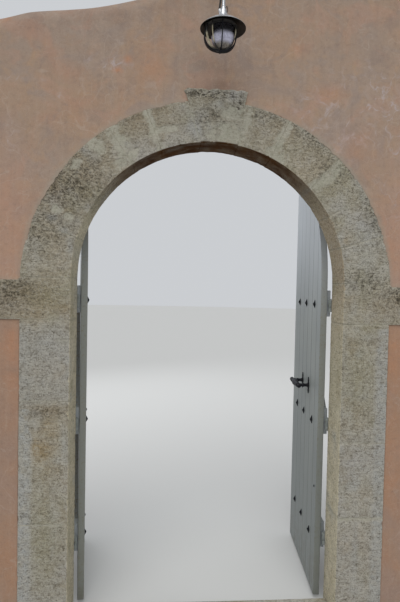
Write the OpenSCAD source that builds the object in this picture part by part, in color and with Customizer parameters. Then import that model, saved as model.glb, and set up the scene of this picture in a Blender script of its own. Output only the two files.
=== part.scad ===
// Arched stone gateway through a rendered garden wall, with a pair of
// arch-headed plank leaves and a lantern on a bent arm over the keystone.
// Millimetres. X runs along the wall, Y into the courtyard, Z up.
// The origin is the centre of the opening on the threshold's underside.

/* [Opening] */
// Clear width between the jambs
opening_w = 1400; // [1300:10:1500]
// Height of the arch's centre above the ground
spring_h = 1808; // [1800:2:1840]
// Face width of the jambs, and of the arch ring at its springing
ring_w = 250; // [220:5:260]
// Thickness of the dressed stones, through the wall
stone_t = 180; // [180:5:240]

/* [Wall] */
// Half of the length of wall that is built
wall_half = 1800; // [1600:50:2000]
// How far the render lies behind the face of the stones
render_in = 8; // [4:1:14]
// Underside of the impost blocks
impost_lo = 1596; // [1560:2:1620]
// Top of the impost blocks
impost_hi = 1796; // [1780:2:1798]
// Distance from the centre to the outer end of the impost blocks
impost_end = 1200; // [1100:50:1300]

/* [Threshold] */
// Height of the threshold slab above the ground
sill_h = 50; // [30:1:60]
// How far the slab reaches behind the middle of the wall
sill_back = 45; // [20:1:45]

/* [Leaves] */
// Gap between a leaf and the stone beside and over it
leaf_gap = 6; // [5:0.5:10]
// Thickness of the boards
board_t = 36; // [30:1:40]
// Underside of the leaves
leaf_bottom = 22; // [21:1:40]
// Half of the gap between the closed leaves
meet_gap = 4.5; // [4:0.5:6]
// Thickness of the ledges on the back of the boards
ledge_t = 22; // [18:1:24]
// How far the hinge axis stands behind the back of the wall
axis_out = 16; // [15:0.5:20]
// Opening angle of the left leaf at rest
left_open = 101; // [0:1:110]
// Opening angle of the right leaf at rest
right_open = 93.8; // [0:0.2:110]

/* [Handle] */
// Height of the handle
handle_z = 1184; // [1150:1:1230]
// Distance from the face of the boards to the grip's axis
handle_out = 66; // [55:1:75]

/* [Lantern] */
// Distance of the lantern right of the opening's centre
lamp_x = 9; // [-40:1:60]
// Distance from the render to the lantern's axis
lamp_out = 307; // [240:1:340]
// Height of the shade's rim
lamp_rim_z = 2913; // [2900:1:2930]
// Height of the arm's wall plate
plate_z = 3285; // [3275:1:3290]

/* [Hidden] */

r_in = opening_w / 2;
r_out = r_in + ring_w;
half_t = stone_t / 2;
face_y = half_t - render_in;
cap_r = face_y;
split_x = 1000;
mid_x = 50;
step = 50;

// Joints between the arch stones, in degrees from the right springing
right_joints = [0, 15.3, 29.4, 43.6, 64.6, 90];
left_joints = [180, 163.3, 143.4, 124.8, 111.6, 90];
// Beds between the three stones of each jamb
left_beds = [0, 552, 1184, impost_lo];
right_beds = [0, 564, 970, impost_lo];
// Half of the gap between neighbouring arch stones, in degrees
bed_gap = 0.012;
// Keystone outline
key_top = 975 + spring_h;
key_pts = [[-155, key_top], [179, key_top], [125, spring_h + r_in - 40],
    [-49, spring_h + r_in - 40]];
// The back of the arch is struck from a lower centre than its soffit, so
// the ring is narrower at the crown than at the springing
back_drop = 38.8;
back_r = r_out + 0.8;

// Crest of the wall's rounded top, by hand, as [x, z]
crest_pts = [[-2100, 2901], [-1750, 2971], [-1400, 3041], [-1068, 3104],
    [-920, 3145], [-732, 3168], [-588, 3189], [-410, 3232], [-240, 3285],
    [-100, 3385], [60, 3440], [370, 3475], [770, 3487], [1220, 3474],
    [1700, 3448], [2100, 3428]];

// Crest height at x: a cubic through the points with the slope of their
// neighbours
function slope_at(i) = (crest_pts[i + 1][1] - crest_pts[i - 1][1])
    / (crest_pts[i + 1][0] - crest_pts[i - 1][0]);
function seg_of(x, i = 1) =
    (i >= len(crest_pts) - 3 || x <= crest_pts[i + 1][0]) ? i
    : seg_of(x, i + 1);
function crest(x) = let (i = seg_of(x),
    x0 = crest_pts[i][0], x1 = crest_pts[i + 1][0],
    h = x1 - x0, t = (x - x0) / h,
    z0 = crest_pts[i][1], z1 = crest_pts[i + 1][1])
    z0 * (1 + 2 * t) * (1 - t) * (1 - t) + z1 * t * t * (3 - 2 * t)
    + h * slope_at(i) * t * (1 - t) * (1 - t)
    - h * slope_at(i + 1) * t * t * (1 - t);
function shoulder(x) = crest(x) - cap_r;
function top_line(a, b) = [for (x = [a : step : b]) [x, shoulder(x)]];
function rev(v) = [for (i = [len(v) - 1 : -1 : 0]) v[i]];

render_col = [0.66, 0.50, 0.41];
stone_col = [0.56, 0.54, 0.46];
paint_col = [0.55, 0.58, 0.55];
iron_col = [0.07, 0.07, 0.08];
metal_col = [0.55, 0.56, 0.58];

// A flat XZ outline carried through the wall
module slab(t) {
    rotate([90, 0, 0]) linear_extrude(height = t, center = true) children();
}

module ring_prism(r, t) {
    translate([0, 0, spring_h]) rotate([90, 0, 0])
        cylinder(r = r, h = t, center = true, $fn = 180);
}

// The arch ring's back, above the springing, grown by g
module back_prism(t, g) {
    intersection() {
        translate([0, 0, spring_h - back_drop]) rotate([90, 0, 0])
            cylinder(r = back_r + g, h = t, center = true, $fn = 180);
        translate([-2 * r_out, -t, spring_h])
            cube([4 * r_out, 2 * t, 2 * r_out]);
    }
}

module keystone_prism(t) {
    slab(t) polygon(key_pts);
}

// ---- rendered wall ----

module left_wall() {
    color(render_col) slab(2 * face_y) polygon(concat(
        [[-wall_half, 0], [-r_out, 0], [-r_out, impost_lo],
         [-impost_end, impost_lo], [-impost_end, impost_hi],
         [-split_x, impost_hi]],
        rev(top_line(-wall_half, -split_x))));
}

module right_wall() {
    color(render_col) slab(2 * face_y) polygon(concat(
        [[split_x, impost_hi], [impost_end, impost_hi],
         [impost_end, impost_lo], [r_out, impost_lo], [r_out, 0],
         [wall_half, 0]],
        rev(top_line(split_x, wall_half))));
}

module spandrel(a, b) {
    color(render_col) difference() {
        slab(2 * face_y) polygon(concat(
            [[a, impost_hi], [b, impost_hi]], rev(top_line(a, b))));
        back_prism(3 * half_t, 0.15);
        translate([-r_out, -2 * half_t, impost_hi - 10])
            cube([2 * r_out, 4 * half_t, spring_h - impost_hi + 10]);
        keystone_prism(3 * half_t);
    }
}

module left_spandrel() { spandrel(-split_x, mid_x); }
module right_spandrel() { spandrel(mid_x, split_x); }

// Rounded top, as a half-round swept along the shoulder line
module capping(a, b) {
    n = 12;
    xs = [for (x = [a : step : b]) x];
    m = len(xs);
    pts = [for (x = xs) for (j = [0 : n])
        [x, cap_r * cos(180 * j / n),
         shoulder(x) + cap_r * sin(180 * j / n)]];
    w = n + 1;
    sides = [for (i = [0 : m - 2]) for (j = [0 : n])
        [i * w + j, (i + 1) * w + j, (i + 1) * w + (j + 1) % w,
         i * w + (j + 1) % w]];
    tri = [for (f = sides) for (k = [0, 1])
        k == 0 ? [f[0], f[1], f[2]] : [f[0], f[2], f[3]]];
    color(render_col) polyhedron(points = pts, faces = concat(tri,
        [[for (j = [0 : n]) j]],
        [[for (j = [n : -1 : 0]) (m - 1) * w + j]]), convexity = 6);
}

module left_capping() { capping(-wall_half, mid_x); }
module right_capping() { capping(mid_x, wall_half); }

// ---- dressed stone ----

module threshold() {
    color(stone_col) translate([-r_in, -half_t, 0])
        cube([opening_w, half_t + sill_back, sill_h]);
}

// One jamb stone: side is -1 or 1, z0 and z1 its beds
module jamb_stone(side, z0, z1) {
    color(stone_col) translate([side > 0 ? r_in : -r_out, -half_t, z0])
        cube([ring_w, stone_t, z1 - z0]);
}

// The impost block is a little higher where the arch stands on it
module impost(side) {
    color(stone_col) slab(stone_t)
        polygon([[side * r_in, impost_lo], [side * impost_end, impost_lo],
            [side * impost_end, impost_hi], [side * r_out, impost_hi],
            [side * r_out, spring_h], [side * r_in, spring_h]]);
}

// One arch stone between the angles a0 and a1
module ring_stone(a0, a1) {
    color(stone_col) intersection() {
        translate([0, 0, spring_h]) rotate([90, 0, 0])
            rotate([0, 0, min(a0, a1) + bed_gap])
                rotate_extrude(angle = abs(a1 - a0) - 2 * bed_gap, $fn = 180)
                    translate([r_in, -half_t])
                        square([ring_w + 30, stone_t]);
        translate([0, 0, spring_h - back_drop]) rotate([90, 0, 0])
            cylinder(r = back_r, h = 3 * half_t, center = true, $fn = 180);
    }
}

// The highest arch stone is cut to the keystone
module top_stone(a0, a1) {
    color(stone_col) difference() {
        ring_stone(a0, a1);
        keystone_prism(3 * half_t);
    }
}

module keystone() {
    color(stone_col) difference() {
        keystone_prism(stone_t);
        ring_prism(r_in, 3 * half_t);
    }
}

// ---- hinges ----

band_w = 40;
band_t = 5.5;
eye_r = 12;
pin_r = 6;
axis_y = half_t + axis_out;
hinge_zs = [368, 1024, 1697];

// One pintle on the hinge axis, its tang running slantwise into the stone
module pintle(side) {
    boss_h = 26;
    translate([0, 0, -band_w / 2 - 0.5 - boss_h]) {
        cylinder(r = 10, h = boss_h, $fn = 48);
        difference() {
            rotate([0, 0, side > 0 ? -45 : 225]) translate([0, -6, 6])
                cube([40, 12, 14]);
            translate([-80, -80 - axis_out, -10]) cube([160, 80, 60]);
        }
        cylinder(r = pin_r, h = boss_h + band_w + 8, $fn = 48);
    }
}

module pintles(side) {
    color(iron_col) for (z = hinge_zs)
        translate([side * r_in, axis_y, z]) pintle(side);
}

// Carries a closed leaf, drawn on the right, to its side and its angle
module hang(side, angle) {
    translate([side * r_in, axis_y, 0])
        rotate([0, 0, side > 0 ? -angle : angle])
            translate([-side * r_in, -axis_y, 0])
                mirror([side > 0 ? 0 : 1, 0, 0]) children();
}

// ---- leaves, drawn closed and on the right ----

leaf_x1 = r_in - leaf_gap;
board_y0 = half_t - board_t;
ledge_zs = [[294, 442], [950, 1098], [1623, 1771]];

module boards() {
    color(paint_col) intersection() {
        translate([meet_gap, board_y0, leaf_bottom])
            cube([leaf_x1 - meet_gap, board_t, spring_h + r_in]);
        union() {
            translate([0, half_t, spring_h]) rotate([90, 0, 0])
                cylinder(r = leaf_x1, h = board_t, $fn = 180);
            translate([-10, board_y0, 0])
                cube([r_in + 20, board_t, spring_h]);
        }
    }
}

module ledges() {
    color(paint_col) for (z = ledge_zs)
        translate([meet_gap + 24, half_t, z[0]])
            cube([leaf_x1 - meet_gap - 24 - 14, ledge_t, z[1] - z[0]]);
}

// Slanting braces between the ledges, rising away from the hinges:
// [hinge-side foot, its height, hinge-side head, its height]
brace_w = 115;
brace_ends = [[600, 442, 150, 950], [655, 1098, 215, 1623]];
module braces() {
    color(paint_col) for (b = brace_ends)
        translate([0, half_t + ledge_t, 0]) rotate([90, 0, 0])
            linear_extrude(height = ledge_t)
                polygon([[b[0], b[1]], [b[2], b[3]],
                    [b[2] - brace_w, b[3]], [b[0] - brace_w, b[1]]]);
}

// Strap on the ledge's face, rolled into an eye round the pin
module strap() {
    face = half_t + ledge_t;
    difference() {
        union() {
            translate([r_in, axis_y, 0])
                cylinder(r = eye_r, h = band_w, center = true, $fn = 48);
            translate([0, face + band_t, 0]) rotate([90, 0, 0])
                linear_extrude(height = band_t)
                    polygon([[r_in, -band_w / 2], [r_in, band_w / 2],
                        [r_in - 270, band_w / 2 - 6],
                        [r_in - 300, band_w / 2 + 4],
                        [r_in - 345, 0],
                        [r_in - 300, -band_w / 2 - 4],
                        [r_in - 270, -band_w / 2 + 6]]);
        }
        translate([r_in, axis_y, 0])
            cylinder(r = pin_r + 0.08, h = band_w + 20, center = true,
                $fn = 48);
    }
}

module straps() {
    color(iron_col) for (z = hinge_zs) translate([0, 0, z]) strap();
}

// Pointed stud: a long four-sided pyramid on a thin foot
module stud() {
    h = 25; w = 15; foot = 2; peak = 13;
    polyhedron(points = [[0, 0, -h], [w, 0, 0], [0, 0, h], [-w, 0, 0],
            [0, -foot, -h], [w, -foot, 0], [0, -foot, h], [-w, -foot, 0],
            [0, -peak, 0]],
        faces = [[3, 2, 1, 0], [0, 1, 5, 4], [1, 2, 6, 5], [2, 3, 7, 6],
            [3, 0, 4, 7], [4, 5, 8], [5, 6, 8], [6, 7, 8], [7, 4, 8]]);
}

stud_zs = [336, 1001, 1689];
module studs() {
    color(iron_col) for (z = stud_zs) for (s = [133, 344, 539])
        translate([leaf_x1 - s, board_y0, z]) stud();
}

grip_s = [240, 401];
module handle_plates() {
    color(iron_col) hang(1, right_open) for (s = grip_s)
        translate([leaf_x1 - s, board_y0, handle_z]) rotate([90, 0, 0])
            linear_extrude(height = 5)
                polygon([[0, -51], [12, -32], [9, -22], [19, 0], [9, 22],
                    [12, 32], [0, 51], [-12, 32], [-9, 22], [-19, 0],
                    [-9, -22], [-12, -32]]);
}

// Two arms and a swelling bar between them, with a knob at each end
module handle_grip() {
    y = board_y0 - handle_out;
    mid = leaf_x1 - (grip_s[0] + grip_s[1]) / 2;
    reach = (grip_s[1] - grip_s[0]) / 2;
    color(iron_col) hang(1, right_open) union() {
        for (s = grip_s) translate([leaf_x1 - s, board_y0 - 5, handle_z])
            rotate([90, 0, 0]) cylinder(r = 10, h = handle_out - 5,
                $fn = 32);
        for (d = [-1, 1]) {
            translate([mid + d * reach, y, handle_z])
                sphere(r = 15, $fn = 40);
            translate([mid, y, handle_z]) rotate([0, 90 * d, 0])
                cylinder(r1 = 20, r2 = 11, h = reach, $fn = 40);
            translate([mid, y, handle_z]) rotate([0, 90 * d, 0])
                cylinder(r = 8, h = reach + 24, $fn = 32);
            translate([mid + d * (reach + 28), y, handle_z])
                sphere(r = 13, $fn = 40);
        }
    }
}

// ---- lantern ----

lamp_y = -face_y - lamp_out;
tube_r = 8;
tube_t = 1.5;
bend_r = 130;
cap_top = 97;
// The cage and its plate hang a little left of the shade's axis
cage_dx = -9;

module lamp_wall_plate() {
    color(metal_col) translate([lamp_x, -face_y, plate_z])
        rotate([90, 0, 0]) union() {
            cylinder(r = 36, h = 5, $fn = 64);
            cylinder(r = 15, h = 14, $fn = 48);
        }
}

module tube_cut() { difference() {
    circle(r = tube_r, $fn = 40);
    circle(r = tube_r - tube_t, $fn = 40);
} }

module lamp_arm() {
    run = lamp_out - 14 - bend_r;
    drop = plate_z - bend_r - (lamp_rim_z + cap_top);
    color(metal_col) union() {
        translate([lamp_x, -face_y - 14, plate_z]) rotate([90, 0, 0])
            linear_extrude(height = run) tube_cut();
        translate([lamp_x, lamp_y + bend_r, plate_z - bend_r])
            rotate([90, 0, -90]) rotate_extrude(angle = 90, $fn = 96)
                translate([bend_r, 0]) tube_cut();
        translate([lamp_x, lamp_y, lamp_rim_z + cap_top])
            linear_extrude(height = drop) tube_cut();
    }
}

module at_lamp() { translate([lamp_x, lamp_y, lamp_rim_z]) children(); }

module lamp_cap() {
    color(metal_col) at_lamp() rotate_extrude($fn = 64)
        polygon([[0, 46], [19, 46], [19, 66], [17.5, 76], [15, 84],
            [12, 91], [9.5, cap_top], [0, cap_top]]);
}

module lamp_shade() {
    color(metal_col) at_lamp() rotate_extrude($fn = 96)
        polygon([[0, 46], [20, 46], [45, 37.5], [72, 23.5], [92, 9],
            [101.5, 0], [98.5, 0], [90, 7.5], [71, 21], [44, 35],
            [19, 43.5], [0, 43.5]]);
}

// Bulb holder with the plate that carries the glass and the cage
module lamp_holder() {
    color(iron_col) at_lamp() union() {
        translate([0, 0, 9]) cylinder(r = 17, h = 34.5, $fn = 48);
        translate([cage_dx, 0, 4]) cylinder(r = 70, h = 5, $fn = 72);
    }
}

// Glass jar with a rounded foot
module lamp_glass() {
    color([0.8, 0.83, 0.85, 0.5]) at_lamp()
        rotate_extrude($fn = 72)
            polygon([[51, 4], [51, -20], [50.5, -40], [48, -57],
                [41.5, -71], [31, -81.5], [16, -87.5], [0, -89], [0, -86],
                [15.2, -84.6], [29.4, -79], [39.2, -69], [45.2, -56],
                [47.5, -39.6], [48, -20], [48, 4]]);
}

module lamp_bulb() {
    color([0.9, 0.9, 0.86]) at_lamp() union() {
        translate([0, 0, -34]) sphere(r = 24, $fn = 48);
        translate([0, 0, -34]) cylinder(r = 12, h = 38, $fn = 40);
    }
}

// One wire of the cage, down beside the glass and in under it
cage_line = [[67, 4], [67, -34], [54, -73], [36, -89], [8, -98]];
module cage_wire(wr) {
    for (i = [0 : len(cage_line) - 2]) {
        p = cage_line[i];
        q = cage_line[i + 1];
        d = q - p;
        translate([p[0], 0, p[1]]) rotate([0, 90 - atan2(d[1], d[0]), 0])
            cylinder(r = wr, h = norm(d), $fn = 24);
        if (i > 0) translate([p[0], 0, p[1]]) sphere(r = wr + 0.25, $fn = 24);
    }
}

// A bent band under the glass, bulging to the left, and five wires
module lamp_cage() {
    color(metal_col) at_lamp() union() {
        slab(26) polygon([[-72, 4], [-77, -14], [-78.5, -36], [-74.7, -57],
            [-64.2, -75], [-47, -87.8], [-23.5, -94.6], [0, -95.6],
            [21, -91.7], [36.4, -82], [46.8, -68.8], [53, -53.4],
            [55.5, -36], [56, -14], [55.5, 4], [60.5, 4], [61, -14],
            [60.5, -36.4], [58, -54.8], [51.2, -71.4], [39.6, -86.2],
            [23, -96.4], [0.4, -100.6], [-24.5, -99.6], [-49, -92.4],
            [-67.8, -78.8], [-79.3, -59.2], [-83.5, -36], [-81.5, -13],
            [-76, 4]]);
        translate([cage_dx, 0, 0]) for (a = [90, 200, 232, 270, 335])
            rotate([0, 0, a]) cage_wire(2.6);
        translate([cage_dx, 0, -103]) cylinder(r = 9, h = 11, $fn = 32);
    }
}

left_wall();
right_wall();
left_spandrel();
right_spandrel();
left_capping();
right_capping();
threshold();
jamb_stone(-1, left_beds[0], left_beds[1]);  // left_jamb_lower
jamb_stone(-1, left_beds[1], left_beds[2]);  // left_jamb_middle
jamb_stone(-1, left_beds[2], left_beds[3]);  // left_jamb_upper
jamb_stone(1, right_beds[0], right_beds[1]);  // right_jamb_lower
jamb_stone(1, right_beds[1], right_beds[2]);  // right_jamb_middle
jamb_stone(1, right_beds[2], right_beds[3]);  // right_jamb_upper
impost(-1);  // left_impost
impost(1);  // right_impost
ring_stone(left_joints[0], left_joints[1]);  // left_voussoir_1
ring_stone(left_joints[1], left_joints[2]);  // left_voussoir_2
ring_stone(left_joints[2], left_joints[3]);  // left_voussoir_3
ring_stone(left_joints[3], left_joints[4]);  // left_voussoir_4
top_stone(left_joints[4], left_joints[5]);  // left_voussoir_5
ring_stone(right_joints[0], right_joints[1]);  // right_voussoir_1
ring_stone(right_joints[1], right_joints[2]);  // right_voussoir_2
ring_stone(right_joints[2], right_joints[3]);  // right_voussoir_3
ring_stone(right_joints[3], right_joints[4]);  // right_voussoir_4
top_stone(right_joints[4], right_joints[5]);  // right_voussoir_5
keystone();
pintles(-1);  // left_pintles
pintles(1);  // right_pintles
lamp_wall_plate();
lamp_arm();
lamp_cap();
lamp_shade();
lamp_holder();
lamp_glass();
lamp_bulb();
lamp_cage();
hang(-1, left_open) boards();  // left_boards
hang(-1, left_open) ledges();  // left_ledges
hang(-1, left_open) braces();  // left_braces
hang(-1, left_open) straps();  // left_straps
hang(-1, left_open) studs();  // left_studs
hang(1, right_open) boards();  // right_boards
hang(1, right_open) ledges();  // right_ledges
hang(1, right_open) braces();  // right_braces
hang(1, right_open) straps();  // right_straps
hang(1, right_open) studs();  // right_studs
handle_plates();
handle_grip();
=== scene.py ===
"""Arched stone gateway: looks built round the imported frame."""

import math

import bpy
import numpy as np
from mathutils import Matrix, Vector, geometry


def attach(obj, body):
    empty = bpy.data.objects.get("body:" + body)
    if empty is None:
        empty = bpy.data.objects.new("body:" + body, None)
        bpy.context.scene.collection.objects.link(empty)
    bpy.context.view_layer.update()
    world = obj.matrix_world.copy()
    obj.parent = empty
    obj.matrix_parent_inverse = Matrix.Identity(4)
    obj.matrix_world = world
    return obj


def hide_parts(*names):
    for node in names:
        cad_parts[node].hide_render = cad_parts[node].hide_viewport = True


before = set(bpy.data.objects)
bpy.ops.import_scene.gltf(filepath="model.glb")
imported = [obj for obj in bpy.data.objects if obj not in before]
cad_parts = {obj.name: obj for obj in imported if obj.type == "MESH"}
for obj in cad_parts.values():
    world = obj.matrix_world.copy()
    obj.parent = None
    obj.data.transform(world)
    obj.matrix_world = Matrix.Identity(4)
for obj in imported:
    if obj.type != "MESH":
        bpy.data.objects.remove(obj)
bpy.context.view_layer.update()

# ---------------------------------------------------------------- sizes
R_IN = 0.700
R_OUT = 0.950
SPRING = 1.808
DROP = 0.0388
BACK_R = 0.9508
HALF = 0.090
FACE = 0.082
WALL = 1.800
IMPOST = (1.596, 1.796)
IMPOST_END = 1.200
LEFT_BEDS = (0.0, 0.552, 1.184, 1.596)
RIGHT_BEDS = (0.0, 0.564, 0.970, 1.596)
LEFT_JOINTS = (180.0, 163.3, 143.4, 124.8, 111.6)
RIGHT_JOINTS = (0.0, 15.3, 29.4, 43.6, 64.6)
KEY = ((-0.155, 2.783), (0.179, 2.783), (0.125, 2.468), (-0.049, 2.468))
CREST = ((-2.1, 2.901), (-1.75, 2.971), (-1.4, 3.041), (-1.068, 3.104),
         (-0.92, 3.145), (-0.732, 3.168), (-0.588, 3.189), (-0.41, 3.232),
         (-0.24, 3.285), (-0.1, 3.385), (0.06, 3.440), (0.37, 3.475),
         (0.77, 3.487), (1.22, 3.474), (1.7, 3.448), (2.1, 3.428))
SILL = 0.050
SILL_BACK = 0.045
AXIS_Y = 0.106
LEAF_X1 = 0.694
LEAF_LOW = 0.022
BOARD_Y = 0.054
BOARD_T = 0.036
MEET = 0.0045
LEDGE_T = 0.022
LEDGES = ((0.294, 0.442), (0.950, 1.098), (1.623, 1.771))
HINGES = (0.368, 1.024, 1.697)
STUD_Z = (0.336, 1.001, 1.689)
STUD_S = (0.133, 0.344, 0.539)
OPEN = {-1: 101.0, 1: 93.8}


def back_radius(t):
    """Distance from the arch's centre to its back at the angle t. The back is
    struck from a lower centre, so the ring narrows towards the crown."""
    return -DROP * np.sin(t) + np.sqrt(BACK_R ** 2 - (DROP * np.cos(t)) ** 2)


MARK_Z = ((-0.5, 0.074, 0.589, 1.096, 1.596, 1.794, 2.088, 2.507, 2.766, 3.148, 3.648),
          (-0.57, 0.0, 0.5, 1.0, 1.5, 1.7, 2.0, 2.43, 2.7, 3.1, 3.6))
MARK_X = ((0.0, 0.5, 1.0, 1.5, 1.7, 2.0, 2.43, 2.7, 3.1),
          (-0.005, 0.001, 0.006, 0.011, 0.013, 0.016, 0.020, 0.023, 0.027))


def marks(x, z):
    """Where a point lies on the sheet that the spots and stains are laid out on."""
    v = np.interp(z, *MARK_Z)
    return x + np.interp(v, *MARK_X), v


# ---------------------------------------------------------------- noise
def _hash(ix, iy, iz, seed):
    h = (ix.astype(np.uint32) * np.uint32(0x9E3779B1)
         ^ iy.astype(np.uint32) * np.uint32(0x85EBCA77)
         ^ iz.astype(np.uint32) * np.uint32(0xC2B2AE3D)
         ^ np.uint32((seed * 0x27D4EB2F + 0x165667B1) & 0xFFFFFFFF))
    h ^= h >> np.uint32(15)
    h *= np.uint32(0x2C1B3C6D)
    h ^= h >> np.uint32(12)
    h *= np.uint32(0x297A2D39)
    h ^= h >> np.uint32(15)
    return h


def noise(p, size, seed=0):
    """Gradient noise, about -1 to 1, with features of about that size in metres."""
    q = p / size
    i = np.floor(q)
    f = q - i
    i = i.astype(np.int64)
    w = f * f * f * (f * (f * 6 - 15) + 10)
    out = np.zeros(len(p))
    for dx in (0, 1):
        for dy in (0, 1):
            for dz in (0, 1):
                h = _hash(i[:, 0] + dx, i[:, 1] + dy, i[:, 2] + dz, seed)
                gx = (h & np.uint32(1023)) / 511.5 - 1
                gy = ((h >> np.uint32(10)) & np.uint32(1023)) / 511.5 - 1
                gz = ((h >> np.uint32(20)) & np.uint32(1023)) / 511.5 - 1
                d = (gx * (f[:, 0] - dx) + gy * (f[:, 1] - dy)
                     + gz * (f[:, 2] - dz))
                k = ((w[:, 0] if dx else 1 - w[:, 0])
                     * (w[:, 1] if dy else 1 - w[:, 1])
                     * (w[:, 2] if dz else 1 - w[:, 2]))
                out += d * k
    return out * 1.3


def fbm(p, size, octaves=4, seed=0, gain=0.5):
    out = np.zeros(len(p))
    amp, total = 1.0, 0.0
    for o in range(octaves):
        out += amp * noise(p, size / 2.03 ** o, seed + 17 * o)
        total += amp
        amp *= gain
    return out / total


def cells(p, size, seed=0):
    """Nearest and second nearest cell distance (in cells), and the nearest cell's own number 0 to 1."""
    q = p / size
    base = np.floor(q).astype(np.int64)
    f1 = np.full(len(p), 9.0)
    f2 = np.full(len(p), 9.0)
    own = np.zeros(len(p))
    for dx in (-1, 0, 1):
        for dy in (-1, 0, 1):
            for dz in (-1, 0, 1):
                c = base + (dx, dy, dz)
                h = _hash(c[:, 0], c[:, 1], c[:, 2], seed)
                px = c[:, 0] + (h & np.uint32(1023)) / 1023.0
                py = c[:, 1] + ((h >> np.uint32(10)) & np.uint32(1023)) / 1023.0
                pz = c[:, 2] + ((h >> np.uint32(20)) & np.uint32(1023)) / 1023.0
                d = np.sqrt((q[:, 0] - px) ** 2 + (q[:, 1] - py) ** 2
                            + (q[:, 2] - pz) ** 2)
                r = ((h >> np.uint32(7)) & np.uint32(4095)) / 4095.0
                near = d < f1
                f2 = np.where(near, f1, np.minimum(f2, d))
                own = np.where(near, r, own)
                f1 = np.where(near, d, f1)
    return f1, f2, own


def ramp(x, a, b):
    t = np.clip((x - a) / (b - a), 0, 1)
    return t * t * (3 - 2 * t)


def blob(x, z, cx, cz, rx, rz, turn=0.0):
    """A soft spot, 1 in its middle."""
    c, s = math.cos(math.radians(turn)), math.sin(math.radians(turn))
    u = ((x - cx) * c + (z - cz) * s) / rx
    v = (-(x - cx) * s + (z - cz) * c) / rz
    return np.exp(-(u * u + v * v))


# ---------------------------------------------------------------- meshes
def new_object(name, verts, faces, mat, smooth=40.0, masks=None, indices=None,
               mats=None):
    me = bpy.data.meshes.new(name)
    me.from_pydata([tuple(v) for v in verts], [], faces)
    me.validate()
    me.update()
    for m in (mats or [mat]):
        me.materials.append(m)
    if indices is not None:
        me.polygons.foreach_set("material_index", indices)
    me.polygons.foreach_set("use_smooth", [True] * len(me.polygons))
    if smooth < 180:
        me.set_sharp_from_angle(angle=math.radians(smooth))
    for key, values in (masks or {}).items():
        att = me.attributes.new(key, "FLOAT", "POINT")
        att.data.foreach_set("value", np.asarray(values, dtype=np.float32))
    o = bpy.data.objects.new(name, me)
    bpy.context.scene.collection.objects.link(o)
    return o


class Build:
    """Gathers vertices and faces of one piece out of several closed solids."""

    def __init__(self):
        self.v, self.f, self.i = [], [], []

    def add(self, verts, faces, index=0):
        n = len(self.v)
        self.v.extend(tuple(map(float, p)) for p in verts)
        self.f.extend(tuple(n + k for k in f) for f in faces)
        self.i.extend([index] * len(faces))

    def loft(self, rings, closed=True, index=0):
        """Closed rings of equal length, capped at both ends."""
        n = len(rings[0])
        verts = [p for r in rings for p in r]
        faces = []
        for a in range(len(rings) - 1):
            for b in range(n):
                c = (b + 1) % n
                faces.append((a * n + b, a * n + c, (a + 1) * n + c,
                              (a + 1) * n + b))
        if closed:
            faces.append(tuple(range(n - 1, -1, -1)))
            faces.append(tuple((len(rings) - 1) * n + b for b in range(n)))
        self.add(verts, faces, index)

    def lathe(self, profile, at=(0, 0, 0), n=64, index=0, axis="Z"):
        """A closed profile of (r, h) turned about an axis. Points with r = 0 are poles."""
        verts, rows = [], []
        for r, h in profile:
            if r <= 1e-9:
                rows.append([len(verts)])
                verts.append((0, 0, h))
            else:
                rows.append(list(range(len(verts), len(verts) + n)))
                for k in range(n):
                    a = 2 * math.pi * k / n
                    verts.append((r * math.cos(a), r * math.sin(a), h))
        faces = []
        m = len(rows)
        ring = profile[0][0] > 1e-9 or profile[-1][0] > 1e-9
        for a in range(m if ring else m - 1):
            p, q = rows[a], rows[(a + 1) % m]
            if len(p) == 1 and len(q) == 1:
                continue
            for k in range(n):
                c = (k + 1) % n
                if len(p) == 1:
                    faces.append((p[0], q[c], q[k]))
                elif len(q) == 1:
                    faces.append((p[k], p[c], q[0]))
                else:
                    faces.append((p[k], p[c], q[c], q[k]))
        if axis == "Y":
            verts = [(x, -z, y) for x, y, z in verts]
        elif axis == "X":
            verts = [(z, y, -x) for x, y, z in verts]
        self.add([(x + at[0], y + at[1], z + at[2]) for x, y, z in verts],
                 faces, index)

    def tube(self, path, r, n=12, index=0, ends=True):
        """A round wire along a path, r a number or one per point."""
        path = [Vector(p) for p in path]
        rs = r if isinstance(r, (list, tuple)) else [r] * len(path)
        t0 = (path[1] - path[0]).normalized()
        side = t0.orthogonal().normalized()
        rings = []
        for k, p in enumerate(path):
            a = path[max(k - 1, 0)]
            b = path[min(k + 1, len(path) - 1)]
            t = (b - a).normalized()
            side = (side - t * side.dot(t)).normalized()
            up = t.cross(side)
            rings.append([p + (side * math.cos(2 * math.pi * j / n)
                               + up * math.sin(2 * math.pi * j / n)) * rs[k]
                          for j in range(n)])
        self.loft(rings, closed=ends, index=index)

    def object(self, name, mat=None, mats=None, smooth=40.0, masks=None):
        return new_object(name, self.v, self.f, mat, smooth, masks,
                          self.i if mats else None, mats)


def fix_normals(o):
    """Turns every face outward."""
    import bmesh
    bm = bmesh.new()
    bm.from_mesh(o.data)
    bmesh.ops.recalc_face_normals(bm, faces=bm.faces)
    bm.to_mesh(o.data)
    bm.free()
    o.data.update()


def finish_piece(o, body, slot, *nodes, smooth=None):
    fix_normals(o)
    if smooth is not None:
        o.data.set_sharp_from_angle(angle=math.radians(smooth))
    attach(o, body)
    if nodes:
        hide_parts(*nodes)
    return o


# ---------------------------------------------------------------- materials
def C(r, g, b):
    """Linear colour from the usual 0 to 255 display values."""
    def lin(v):
        v /= 255.0
        return v / 12.92 if v <= 0.04045 else ((v + 0.055) / 1.055) ** 2.4
    return (lin(r), lin(g), lin(b), 1.0)


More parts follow.
